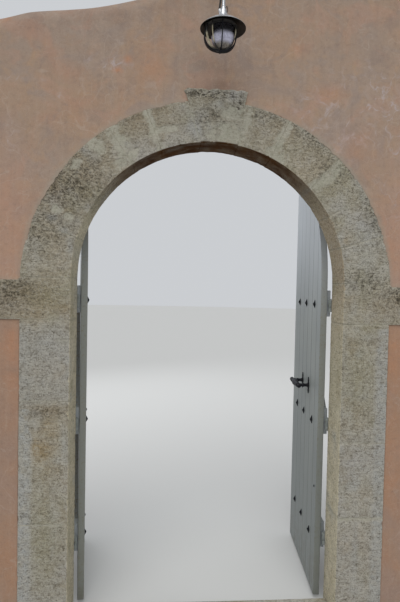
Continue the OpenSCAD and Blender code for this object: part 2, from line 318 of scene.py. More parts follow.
class Shade:
    def __init__(self, name, rough=0.8, metal=0.0, spec=0.3):
        self.m = bpy.data.materials.new(name)
        self.m.use_nodes = True
        self.t = self.m.node_tree
        self.t.nodes.clear()
        self.out = self.t.nodes.new("ShaderNodeOutputMaterial")
        self.b = self.t.nodes.new("ShaderNodeBsdfPrincipled")
        self.b.inputs["Roughness"].default_value = rough
        self.b.inputs["Metallic"].default_value = metal
        self.b.inputs["Specular IOR Level"].default_value = spec
        self.t.links.new(self.b.outputs[0], self.out.inputs[0])
        co = self.t.nodes.new("ShaderNodeTexCoord")
        self.xyz = co.outputs["Object"]

    def put(self, socket, value):
        if hasattr(value, "links"):
            self.t.links.new(value, socket)
        else:
            socket.default_value = value

    def stretch(self, sx, sy, sz, turn=(0, 0, 0)):
        n = self.t.nodes.new("ShaderNodeMapping")
        self.put(n.inputs["Vector"], self.xyz)
        n.inputs["Scale"].default_value = (sx, sy, sz)
        n.inputs["Rotation"].default_value = turn
        return n.outputs[0]

    def warp(self, vec, by, amount):
        """vec pushed about by a noise."""
        n = self.t.nodes.new("ShaderNodeVectorMath")
        n.operation = "MULTIPLY_ADD"
        self.put(n.inputs[0], by)
        n.inputs[1].default_value = (amount, amount, amount)
        self.put(n.inputs[2], vec)
        return n.outputs[0]

    def noise(self, scale, detail=4.0, rough=0.55, dist=0.0, vec=None,
              colour=False):
        n = self.t.nodes.new("ShaderNodeTexNoise")
        self.put(n.inputs["Vector"], vec or self.xyz)
        n.inputs["Scale"].default_value = scale
        n.inputs["Detail"].default_value = detail
        n.inputs["Roughness"].default_value = rough
        n.inputs["Distortion"].default_value = dist
        return n.outputs["Color" if colour else "Fac"]

    def voronoi(self, scale, vec=None, feature="F1", rand=1.0, out="Distance"):
        n = self.t.nodes.new("ShaderNodeTexVoronoi")
        n.feature = feature
        self.put(n.inputs["Vector"], vec or self.xyz)
        n.inputs["Scale"].default_value = scale
        n.inputs["Randomness"].default_value = rand
        return n.outputs[out]

    def span(self, x, a, b, c=0.0, d=1.0, smooth=False):
        n = self.t.nodes.new("ShaderNodeMapRange")
        n.interpolation_type = "SMOOTHSTEP" if smooth else "LINEAR"
        self.put(n.inputs[0], x)
        for k, v in enumerate((a, b, c, d)):
            n.inputs[k + 1].default_value = v
        return n.outputs[0]

    def math(self, op, a, b=0.0, c=None, clamp=False):
        n = self.t.nodes.new("ShaderNodeMath")
        n.operation = op
        n.use_clamp = clamp
        self.put(n.inputs[0], a)
        self.put(n.inputs[1], b)
        if c is not None:
            self.put(n.inputs[2], c)
        return n.outputs[0]

    def mix(self, fac, a, b, mode="MIX"):
        n = self.t.nodes.new("ShaderNodeMix")
        n.data_type = "RGBA"
        n.blend_type = mode
        n.clamp_factor = True
        self.put(n.inputs["Factor"], fac)
        self.put(n.inputs[6], a)
        self.put(n.inputs[7], b)
        return n.outputs[2]

    def ramp(self, x, *stops, mode="LINEAR"):
        n = self.t.nodes.new("ShaderNodeValToRGB")
        n.color_ramp.interpolation = mode
        e = n.color_ramp.elements
        e[0].position, e[0].color = stops[0]
        e[1].position, e[1].color = stops[-1]
        for p, c in stops[1:-1]:
            k = e.new(p)
            k.color = c
        self.put(n.inputs[0], x)
        return n.outputs[0]

    def attr(self, name):
        n = self.t.nodes.new("ShaderNodeAttribute")
        n.attribute_name = name
        return n.outputs["Fac"]

    def axis(self, which):
        n = self.t.nodes.new("ShaderNodeSeparateXYZ")
        self.put(n.inputs[0], self.xyz)
        return n.outputs[which]

    def colour(self, value):
        self.put(self.b.inputs["Base Color"], value)

    def rough(self, value):
        self.put(self.b.inputs["Roughness"], value)

    def bump(self, height, distance=0.002, strength=1.0, chain=None):
        n = self.t.nodes.new("ShaderNodeBump")
        n.inputs["Strength"].default_value = strength
        n.inputs["Distance"].default_value = distance
        self.put(n.inputs["Height"], height)
        if chain is not None:
            self.put(n.inputs["Normal"], chain)
        self.put(self.b.inputs["Normal"], n.outputs[0])
        return n.outputs[0]


def stone_material():
    s = Shade("dressed_stone", rough=0.9, spec=0.06)
    big = s.noise(3.1, 3, 0.6)
    mid = s.noise(13.0, 4, 0.62, 0.4)
    warped = s.warp(s.xyz, s.noise(34.0, 3, colour=True), 0.012)
    small = s.noise(66.0, 5, 0.72, 0.5, vec=warped)
    bent = s.warp(s.stretch(30.0, 30.0, 86.0), s.noise(9.0, 3, colour=True), 3.2)
    streak = s.noise(1.0, 4, 0.62, 0.5, vec=bent)
    grain = s.noise(150.0, 4, 0.72)
    deep = s.math("MULTIPLY", s.math("ADD", s.math("MULTIPLY", s.attr("dark"), 0.42),
                                     0.58), 1.0, clamp=True)
    dust = s.noise(330.0, 2, 0.7)
    body = s.ramp(big, (0.30, C(186, 175, 154)), (0.50, C(185, 180, 165)),
                  (0.70, C(186, 183, 177)))
    body = s.mix(s.span(mid, 0.42, 0.66, 0, 0.60), body, C(150, 139, 116))
    body = s.mix(s.span(mid, 0.30, 0.48, 0.50, 0), body, C(176, 171, 160))
    body = s.mix(s.math("MULTIPLY", s.attr("brown"), 0.80), body, C(150, 133, 107))
    body = s.mix(s.math("MULTIPLY", s.attr("cool"), 0.60), body, C(172, 170, 167))
    # reveals: painted lighter than the face, as painted light; darker and browner towards the top of
    # the right reveal
    body = s.mix(s.math("MULTIPLY", s.attr("reveal"), 0.85), body,
                 s.mix(s.span(mid, 0.35, 0.65), C(230, 219, 190),
                       C(212, 201, 172)))
    high = s.math("MULTIPLY", s.span(s.axis(2), 1.40, 1.85, 0, 0.75),
                  s.span(s.axis(0), 0.1, 0.4))
    body = s.mix(s.math("MULTIPLY", high, s.attr("reveal")), body, C(172, 152, 127))
    # ochre, olive and pale patches
    body = s.mix(s.attr("ochre"), body, C(156, 131, 88))
    body = s.mix(s.attr("pale"), body, C(180, 181, 178))
    body = s.mix(s.attr("olive"), body, C(157, 151, 124))
    # mortar
    mort = s.mix(s.span(mid, 0.35, 0.65), C(164, 162, 145), C(176, 172, 158))
    body = s.mix(s.attr("mortar"), body, mort)
    plain = s.math("SUBTRACT", 1.0, s.math("MULTIPLY", s.attr("mortar"), 0.62))
    # crumbly skin: light and dark specks of every size
    body = s.mix(s.math("MULTIPLY", s.span(small, 0.53, 0.68, 0, 0.60), plain),
                 body, C(192, 187, 174))
    body = s.mix(s.math("MULTIPLY", s.math("MULTIPLY", s.span(small, 0.47, 0.34, 0, 1.0),
                                           deep), plain), body, C(94, 86, 69))
    body = s.mix(s.math("MULTIPLY", s.span(streak, 0.47, 0.30, 0, 0.40), plain),
                 body, C(98, 89, 72))
    body = s.mix(s.math("MULTIPLY", s.span(streak, 0.55, 0.72, 0, 0.42), plain),
                 body, C(186, 182, 171))
    body = s.mix(s.math("MULTIPLY", s.span(grain, 0.55, 0.70, 0, 0.50), plain),
                 body, C(196, 191, 178))
    body = s.mix(s.math("MULTIPLY", s.span(grain, 0.46, 0.30, 0, 0.85), plain),
                 body, C(80, 73, 58))
    speck = s.noise(84.0, 4, 0.70, 0.9, vec=s.stretch(0.8, 0.8, 1.35))
    speck = s.math("MULTIPLY", s.span(speck, 0.465, 0.385, 0, 1),
                   s.math("MULTIPLY", s.math("ADD", s.math(
                       "MULTIPLY", s.attr("dark"), 0.80), 0.20), plain))
    body = s.mix(speck, body, C(58, 52, 42))
    body = s.mix(s.math("MULTIPLY", s.attr("pit"),
                        s.span(grain, 0.36, 0.60, 0.35, 0.85)), body, C(84, 76, 61))
    # dark growth
    clot = s.noise(38.0, 5, 0.74, 0.6, vec=warped)
    body = s.mix(s.math("MULTIPLY", s.attr("dark"),
                        s.span(clot, 0.50, 0.60, 0.10, 1.0)),
                 body, C(66, 60, 49))
    # lighter on the rounded arrises: worn stone with a painted highlight
    body = s.mix(s.math("MULTIPLY", s.attr("edge"), 0.40), body,
                 C(178, 172, 155))
    # the soffit painted dark brown: painted shade under the arch
    body = s.mix(s.attr("soffit"), body,
                 s.mix(s.span(mid, 0.35, 0.65), C(63, 35, 5), C(78, 47, 12)))
    body = s.mix(s.attr("line"), body, C(58, 50, 44))
    s.colour(body)
    h = s.math("MULTIPLY", small, 1.4)
    h = s.math("ADD", h, s.math("MULTIPLY", grain, 0.8))
    h = s.math("ADD", h, s.math("MULTIPLY", streak, 0.9))
    h = s.math("ADD", h, s.math("MULTIPLY", dust, 0.25))
    h = s.math("MULTIPLY", h, plain)
    h = s.math("SUBTRACT", h, s.math("MULTIPLY", speck, 0.8))
    tool = s.noise(1.0, 3, 0.6, vec=s.stretch(9.0, 30.0, 150.0))
    h = s.math("ADD", h, s.math("MULTIPLY", tool, 0.5))
    s.bump(h, 0.0060, 1.0)
    return s.m


def render_material():
    s = Shade("render", rough=0.88, spec=0.22)
    z = s.axis(2)
    wv = s.warp(s.xyz, s.noise(1.7, 2, colour=True), 0.35)
    cloud = s.noise(1.35, 4, 0.62, 0.5, vec=wv)
    cloud2 = s.noise(3.3, 4, 0.6, 0.8)
    mid = s.noise(9.0, 5, 0.6, 0.5)
    fine = s.noise(46.0, 4, 0.6)
    grain = s.noise(210.0, 3, 0.65)
    body = s.ramp(cloud, (0.28, C(164, 134, 111)), (0.44, C(160, 137, 118)),
                  (0.56, C(156, 137, 122)), (0.72, C(151, 137, 127)))
    body = s.mix(s.span(cloud2, 0.52, 0.75, 0, 0.65), body, C(169, 131, 109))
    body = s.mix(s.span(cloud2, 0.46, 0.28, 0, 0.65), body, C(146, 134, 127))
    body = s.mix(s.span(mid, 0.55, 0.76, 0, 0.72), body, C(171, 141, 113))
    body = s.mix(s.span(mid, 0.45, 0.26, 0, 0.72), body, C(138, 121, 111))
    spots = s.noise(21.0, 4, 0.65, 0.8)
    body = s.mix(s.span(spots, 0.57, 0.74, 0, 0.40), body, C(177, 151, 132))
    body = s.mix(s.span(spots, 0.43, 0.28, 0, 0.40), body, C(135, 115, 102))
    wide = s.noise(5.2, 3, 0.55, 1.2, vec=wv)
    body = s.mix(s.span(wide, 0.54, 0.66, 0, 0.50), body, C(171, 138, 119))
    body = s.mix(s.span(wide, 0.46, 0.34, 0, 0.50), body, C(144, 130, 122))
    low_part = s.span(z, 1.84, 1.34, 0, 1)
    body = s.mix(s.math("MULTIPLY", low_part, 0.62), body,
                 s.mix(s.span(cloud2, 0.38, 0.62), C(160, 120, 92),
                       C(150, 124, 108)))
    away = s.math("ABSOLUTE", s.axis(0))
    beside = s.math("MULTIPLY", s.span(away, 0.80, 1.00, 0, 0.55),
                    s.math("MULTIPLY", s.span(z, 2.62, 2.20), s.span(z, 1.70, 1.85)))
    body = s.mix(beside, body, C(176, 138, 117))
    # faint brushed streaks
    streak = s.noise(1.0, 4, 0.6, vec=s.stretch(34.0, 34.0, 3.0))
    body = s.mix(s.span(streak, 0.54, 0.80, 0, 0.30), body, C(176, 156, 140))
    body = s.mix(s.span(streak, 0.46, 0.22, 0, 0.30), body, C(132, 114, 102))
    # pale salts, ochre and red marks
    wv2 = s.warp(s.xyz, s.noise(4.0, 3, 0.6, colour=True), 0.22)
    vein = s.noise(7.5, 3, 0.55, 0.8, vec=wv2)
    vein = s.span(s.math("ABSOLUTE", s.math("SUBTRACT", vein, 0.5)),
                  0.036, 0.004, 0, 1)
    vein2 = s.noise(3.2, 2, 0.5, 1.4, vec=wv2)
    vein2 = s.span(s.math("ABSOLUTE", s.math("SUBTRACT", vein2, 0.52)),
                   0.008, 0.001, 0, 1)
    body = s.mix(s.math("MULTIPLY", s.attr("salt"), 0.34), body, C(172, 158, 152))
    body = s.mix(s.math("MULTIPLY", s.math("MULTIPLY", s.attr("salt"), 1.7, clamp=True),
                        s.math("MULTIPLY", vein, 0.75)), body, C(178, 165, 163))
    body = s.mix(s.math("MULTIPLY", vein2, 0.22), body, C(186, 170, 158))
    body = s.mix(s.attr("rust"), body, C(182, 128, 92))
    body = s.mix(s.attr("stain"), body, C(118, 97, 86))
    body = s.mix(s.attr("cement"), body, C(150, 143, 130))
    # a dark line along the stone's edge: painted shadow
    body = s.mix(s.attr("line"), body, C(76, 56, 48))
    body = s.mix(s.span(fine, 0.56, 0.78, 0, 0.36), body, C(175, 156, 142))
    body = s.mix(s.span(fine, 0.44, 0.24, 0, 0.40), body, C(131, 111, 98))
    body = s.mix(s.span(grain, 0.58, 0.75, 0, 0.42), body, C(184, 170, 159))
    body = s.mix(s.span(grain, 0.42, 0.26, 0, 0.40), body, C(110, 92, 81))
    s.colour(body)
    s.rough(s.span(mid, 0.3, 0.7, 0.82, 0.94))
    h = s.math("MULTIPLY", mid, 1.6)
    h = s.math("ADD", h, s.math("MULTIPLY", fine, 0.8))
    h = s.math("ADD", h, s.math("MULTIPLY", grain, 0.25))
    s.bump(h, 0.0035, 0.55)
    return s.m


def wood_material():
    s = Shade("painted_wood", rough=0.5, spec=0.42)
    z = s.axis(2)
    lines_ = s.mix(s.attr("across"),
                   s.noise(1.0, 5, 0.62, 0.3, vec=s.stretch(70.0, 70.0, 2.2)),
                   s.noise(1.0, 5, 0.62, 0.3, vec=s.stretch(70.0, 2.2, 70.0)))
    long_ = s.noise(1.0, 3, 0.6, vec=s.stretch(18.0, 18.0, 0.9))
    cloud = s.noise(2.4, 3, 0.6)
    body = s.mix(s.span(cloud, 0.36, 0.64), C(134, 139, 139), C(146, 150, 147))
    body = s.mix(s.span(long_, 0.40, 0.66, 0, 0.55), body, C(126, 132, 131))
    body = s.mix(s.math("MULTIPLY", s.attr("board"), 0.5), body,
                 C(150, 153, 148))
    body = s.mix(s.span(lines_, 0.56, 0.78, 0, 0.45), body, C(160, 164, 163))
    body = s.mix(s.span(lines_, 0.42, 0.24, 0, 0.40), body, C(108, 113, 110))
    low_dirt = s.math("MULTIPLY", s.span(z, 0.42, 0.02, 0, 0.8),
                      s.span(s.noise(16.0, 4, 0.7), 0.42, 0.62))
    body = s.mix(low_dirt, body, C(112, 104, 90))
    body = s.mix(s.math("MULTIPLY", s.attr("groove"), 0.75), body,
                 C(84, 88, 84))
    chips = s.math("MULTIPLY", s.attr("edge"),
                   s.span(s.noise(75.0, 3, 0.7), 0.56, 0.62))
    body = s.mix(s.math("MULTIPLY", chips, 0.8), body, C(120, 106, 84))
    body = s.mix(s.math("MULTIPLY", s.attr("end"), 0.62), body, C(133, 134, 124))
    # painted light: lighter and bluer towards the tops of the leaves and on the ledges' lit ends;
    # painted shade: darker towards the bottom
    body = s.mix(s.math("MULTIPLY", s.attr("painted_light"), 0.75), body, C(180, 186, 193))
    body = s.mix(s.math("MULTIPLY", s.attr("painted_shade_low"), 0.55), body, C(110, 115, 113))
    s.colour(body)
    s.rough(s.span(lines_, 0.3, 0.7, 0.42, 0.60))
    s.bump(s.math("ADD", lines_, s.math("MULTIPLY", long_, 0.6)), 0.0012, 0.5)
    return s.m


def iron_material(name="black_iron", tone=(17, 18, 23), rust=0.4):
    s = Shade(name, rough=0.6, metal=0.0, spec=0.22)
    mid = s.noise(34.0, 4, 0.65)
    fine = s.noise(190.0, 3, 0.6)
    body = s.mix(s.span(mid, 0.40, 0.66), C(*tone),
                 C(*(int(t * 1.45) for t in tone)))
    body = s.mix(s.math("MULTIPLY", s.span(mid, 0.58, 0.72), rust), body,
                 C(74, 50, 40))
    # light bluish specks: painted glints
    body = s.mix(s.span(fine, 0.62, 0.80, 0, 0.30), body, C(58, 58, 64))
    s.colour(body)
    s.rough(s.span(mid, 0.3, 0.7, 0.46, 0.66))
    s.bump(s.math("ADD", mid, s.math("MULTIPLY", fine, 0.4)), 0.0015, 0.6)
    return s.m


def hinge_paint():
    """The leaf's paint on the hinges, with patches worn to rust."""
    s = Shade("painted_iron", rough=0.5, spec=0.4)
    mid = s.noise(30.0, 4, 0.65)
    fine = s.noise(150.0, 3, 0.6)
    body = s.mix(s.span(mid, 0.38, 0.66), C(138, 143, 140), C(116, 121, 117))
    body = s.mix(s.span(mid, 0.60, 0.74, 0, 0.7), body, C(104, 84, 66))
    body = s.mix(s.span(fine, 0.60, 0.80, 0, 0.4), body, C(88, 84, 78))
    s.colour(body)
    s.bump(s.math("ADD", mid, s.math("MULTIPLY", fine, 0.4)), 0.0010, 0.5)
    return s.m


def lamp_metal_material():
    s = Shade("lamp_metal", rough=0.3, metal=0.95, spec=0.5)
    mid = s.noise(38.0, 4, 0.65)
    fine = s.noise(260.0, 2, 0.6)
    body = s.mix(s.span(mid, 0.36, 0.66), C(196, 198, 202), C(168, 169, 170))
    body = s.mix(s.span(mid, 0.60, 0.76, 0, 0.6), body, C(120, 112, 100))
    s.colour(body)
    s.rough(s.span(mid, 0.3, 0.7, 0.22, 0.46))
    s.bump(s.math("ADD", mid, s.math("MULTIPLY", fine, 0.2)), 0.0006, 0.4)
    return s.m


# The shade's inside: painted near black, as painted shade and painted dark reflections.
def painted_shade_material():
    s = Shade("shade_inside", rough=0.34, metal=0.2, spec=0.4)
    mid = s.noise(30.0, 4, 0.65)
    s.colour(s.mix(s.span(mid, 0.38, 0.68), C(26, 24, 23), C(48, 42, 38)))
    s.rough(s.span(mid, 0.3, 0.7, 0.28, 0.5))
    s.bump(mid, 0.0006, 0.4)
    return s.m


def plastic_material():
    s = Shade("lamp_holder", rough=0.6, spec=0.4)
    mid = s.noise(60.0, 3, 0.6)
    s.colour(s.mix(s.span(mid, 0.38, 0.68), C(28, 27, 27), C(52, 48, 45)))
    s.bump(mid, 0.0005, 0.4)
    return s.m


def clear_glass_material():
    """Glass, near black at the top where it is clear, as painted shade; lower down bright and bluish, a
    painted sky reflection; browner towards the foot, with dust and a painted ground reflection.
    """
    s = Shade("lamp_glass", rough=0.10, spec=0.6)
    s.b.inputs["IOR"].default_value = 1.47
    dust = s.noise(70.0, 5, 0.7, 0.6)
    painted_sky_reflection = s.mix(s.span(dust, 0.38, 0.66), C(196, 196, 216), C(160, 158, 176))
    dust_and_painted_ground_reflection = s.mix(s.span(dust, 0.40, 0.60), C(92, 84, 78), C(150, 143, 134))
    body = s.mix(s.attr("low"), painted_sky_reflection, dust_and_painted_ground_reflection)
    s.colour(s.mix(s.attr("clear"), body, C(70, 68, 74)))
    s.put(s.b.inputs["Transmission Weight"], s.math("MULTIPLY", s.attr("clear"), 0.7))
    s.rough(s.span(dust, 0.35, 0.70, 0.08, 0.30))
    return s.m


def cream_material():
    s = Shade("cage_paint", rough=0.45, spec=0.45)
    mid = s.noise(60.0, 3, 0.6)
    # cream paint, near black outside its stretch of each wire; inside the lamp's shade that darkness is
    # painted shade
    s.colour(s.mix(s.attr("dark_wire_part"),
                   s.mix(s.span(mid, 0.38, 0.66), C(186, 178, 152), C(138, 128, 104)),
                   C(34, 32, 32)))
    s.bump(mid, 0.0005, 0.4)
    return s.m


def opal_material():
    s = Shade("bulb_glass", rough=0.28, spec=0.5)
    mid = s.noise(24.0, 3, 0.6)
    s.colour(s.mix(s.span(mid, 0.4, 0.65), C(206, 206, 212), C(188, 186, 188)))
    s.b.inputs["Subsurface Weight"].default_value = 0.2
    s.b.inputs["Subsurface Radius"].default_value = (0.01, 0.01, 0.01)
    s.rough(s.span(mid, 0.3, 0.7, 0.22, 0.4))
    return s.m


STONE = stone_material()
RENDER = render_material()
WOOD = wood_material()
IRON = iron_material()
HINGE = hinge_paint()
LAMP = lamp_metal_material()
PAINTED_SHADE = painted_shade_material()
HOLDER = plastic_material()
GLASS = clear_glass_material()
OPAL = opal_material()
CREAM = cream_material()


# ---------------------------------------------------------------- stones
def lines(total, step, edge=(0.0, 0.0016, 0.0042, 0.0085)):
    inner = total - 2 * edge[-1]
    n = max(1, round(inner / step))
    mid = [edge[-1] + inner * k / n for k in range(1, n)]
    return np.array(list(edge) + mid + [total - e for e in reversed(edge)])


def lattice(A, L, D, ks):
    """The skin of a box: vertices (a, l, d) and faces. Front d = 0, back, and
    the side a = 0 are whole grids, the side a = end keeps only the rows ks,
    and the beds are fans."""
    na, nl, nd = len(A), len(L), len(D)
    keep = np.zeros((na, nl, nd), bool)
    keep[:, :, 0] = keep[:, :, -1] = True
    keep[0] = True
    keep[-1][:, ks] = True
    ids = -np.ones((na, nl, nd), int)
    ids[keep] = np.arange(keep.sum())
    I, J, K = np.nonzero(keep)
    pts = np.stack([A[I], L[J], D[K]], 1)
    faces = []

    def grid(g, flip):
        a, b = g[:-1, :-1].ravel(), g[1:, :-1].ravel()
        c, d = g[1:, 1:].ravel(), g[:-1, 1:].ravel()
        q = np.stack([a, d, c, b] if flip else [a, b, c, d], 1)
        faces.extend(map(tuple, q.tolist()))

    grid(ids[:, :, 0], False)
    grid(ids[:, :, -1], True)
    grid(ids[0], False)
    grid(ids[-1][:, ks], True)
    n = len(pts)
    caps = []
    for j, flip in ((0, False), (nl - 1, True)):
        loop = (list(ids[:, j, 0]) + [ids[-1, j, k] for k in ks[1:-1]]
                + list(ids[::-1, j, -1])
                + [ids[0, j, k] for k in range(nd - 2, 0, -1)])
        caps.append((A.mean(), L[j], D.mean()))
        m = len(loop)
        for s in range(m):
            t = (int(loop[s]), int(loop[(s + 1) % m]), n)
            faces.append(t if flip else t[::-1])
        n += 1
    return np.vstack([pts, np.array(caps)]), faces


def dark_zone(x, z):
    """Where the stone is dark with growth and open pits, seen from outside."""
    m = 1.2 * blob(x, z, -0.84, 2.29, 0.12, 0.20, 35)
    m = np.maximum(m, 1.2 * blob(x, z, -0.64, 2.50, 0.22, 0.060, 42))
    m = np.maximum(m, 1.0 * blob(x, z, -0.42, 2.585, 0.14, 0.055, 25))
    m = np.maximum(m, 0.95 * blob(x, z, -0.68, 2.20, 0.14, 0.12, 30))
    m = np.maximum(m, 0.75 * blob(x, z, 0.00, 2.57, 0.065, 0.055, 30))
    m = np.maximum(m, 1.15 * blob(x, z, 0.02, 2.684, 0.21, 0.022))
    m = np.maximum(m, 0.75 * blob(x, z, 0.15, 2.62, 0.045, 0.08))
    m = np.maximum(m, 0.75 * blob(x, z, 0.53, 2.50, 0.14, 0.055, -38))
    m = np.maximum(m, 0.55 * blob(x, z, 0.30, 2.58, 0.10, 0.05, -20))
    m = np.maximum(m, 0.50 * blob(x, z, 0.66, 2.33, 0.10, 0.12, -40))
    m = np.maximum(m, 0.65 * blob(x, z, 0.86, 2.12, 0.05, 0.20, 14))
    m = np.maximum(m, 0.85 * blob(x, z, -1.00, 1.65, 0.14, 0.08))
    m = np.maximum(m, 0.60 * blob(x, z, -0.84, 1.98, 0.16, 0.14))
    m = np.maximum(m, 0.60 * blob(x, z, -0.80, 1.035, 0.10, 0.030))
    m = np.maximum(m, 0.75 * blob(x, z, 0.84, 1.73, 0.12, 0.06))
    m = np.maximum(m, 0.75 * blob(x, z, 1.02, 1.66, 0.14, 0.08))
    return m


MORTAR_SPOTS = (
    (-0.290, 2.500, 0.022, 0.150, 20), (-0.470, 2.450, 0.045, 0.120, 34),
    (-0.415, 2.335, 0.075, 0.035, 40),
    (0.365, 2.450, 0.028, 0.130, -28), (0.345, 2.370, 0.060, 0.045, -30),
    (0.600, 2.262, 0.120, 0.032, 38),
    (0.195, 2.560, 0.024, 0.090, -12), (0.085, 2.480, 0.095, 0.060, 0),
    (0.12, 2.59, 0.06, 0.040, 0), (-0.22, 2.49, 0.07, 0.020, 12),
    (-0.565, 2.395, 0.035, 0.060, 40), (-0.665, 2.290, 0.040, 0.030, 45),
    (-0.700, 2.02, 0.028, 0.028, 0), (-0.752, 2.06, 0.03, 0.024, 0),
)


def tones(p):
    """Broad differences of tone between the stones: how brown, how cool."""
    mx, mz = marks(p[:, 0], p[:, 2])
    right = p[:, 0] > 0
    brown = 0.75 * blob(mx, mz, -0.70, 2.25, 0.34, 0.42, 40)
    brown = np.maximum(brown, 0.95 * blob(mx, mz, -0.98, 1.60, 0.26, 0.13))
    brown = np.maximum(brown, 0.45 * blob(mx, mz, 0.98, 1.60, 0.24, 0.12))
    brown = np.maximum(brown, 0.80 * blob(mx, mz, -0.36, 2.53, 0.28, 0.14, 25))
    brown = np.maximum(brown, 0.45 * blob(mx, mz, 0.38, 2.50, 0.22, 0.12, -25))
    brown = np.clip(brown * (0.9 + 0.5 * fbm(p, 0.10, 2, 71)), 0, 1)
    cool = ramp(mz, 1.0, 0.3) * np.where(right, 0.60, 0.35)
    cool = np.maximum(cool, 0.70 * ramp(mz, 1.52, 1.40) * ramp(mz, 1.05, 1.10) * ~right)
    cool = np.maximum(cool, 0.40 * ramp(mz, 1.50, 1.40) * right)
    brown = np.clip(brown + 0.75 * blob(mx, mz, -0.82, 1.045, 0.13, 0.035), 0, 1)
    cool = cool + 0.25 * ramp(fbm(p, 0.16, 2, 72), 0.0, 0.5) * (p[:, 2] < SPRING)
    cool = np.clip(cool, 0, 1)
    return brown, cool


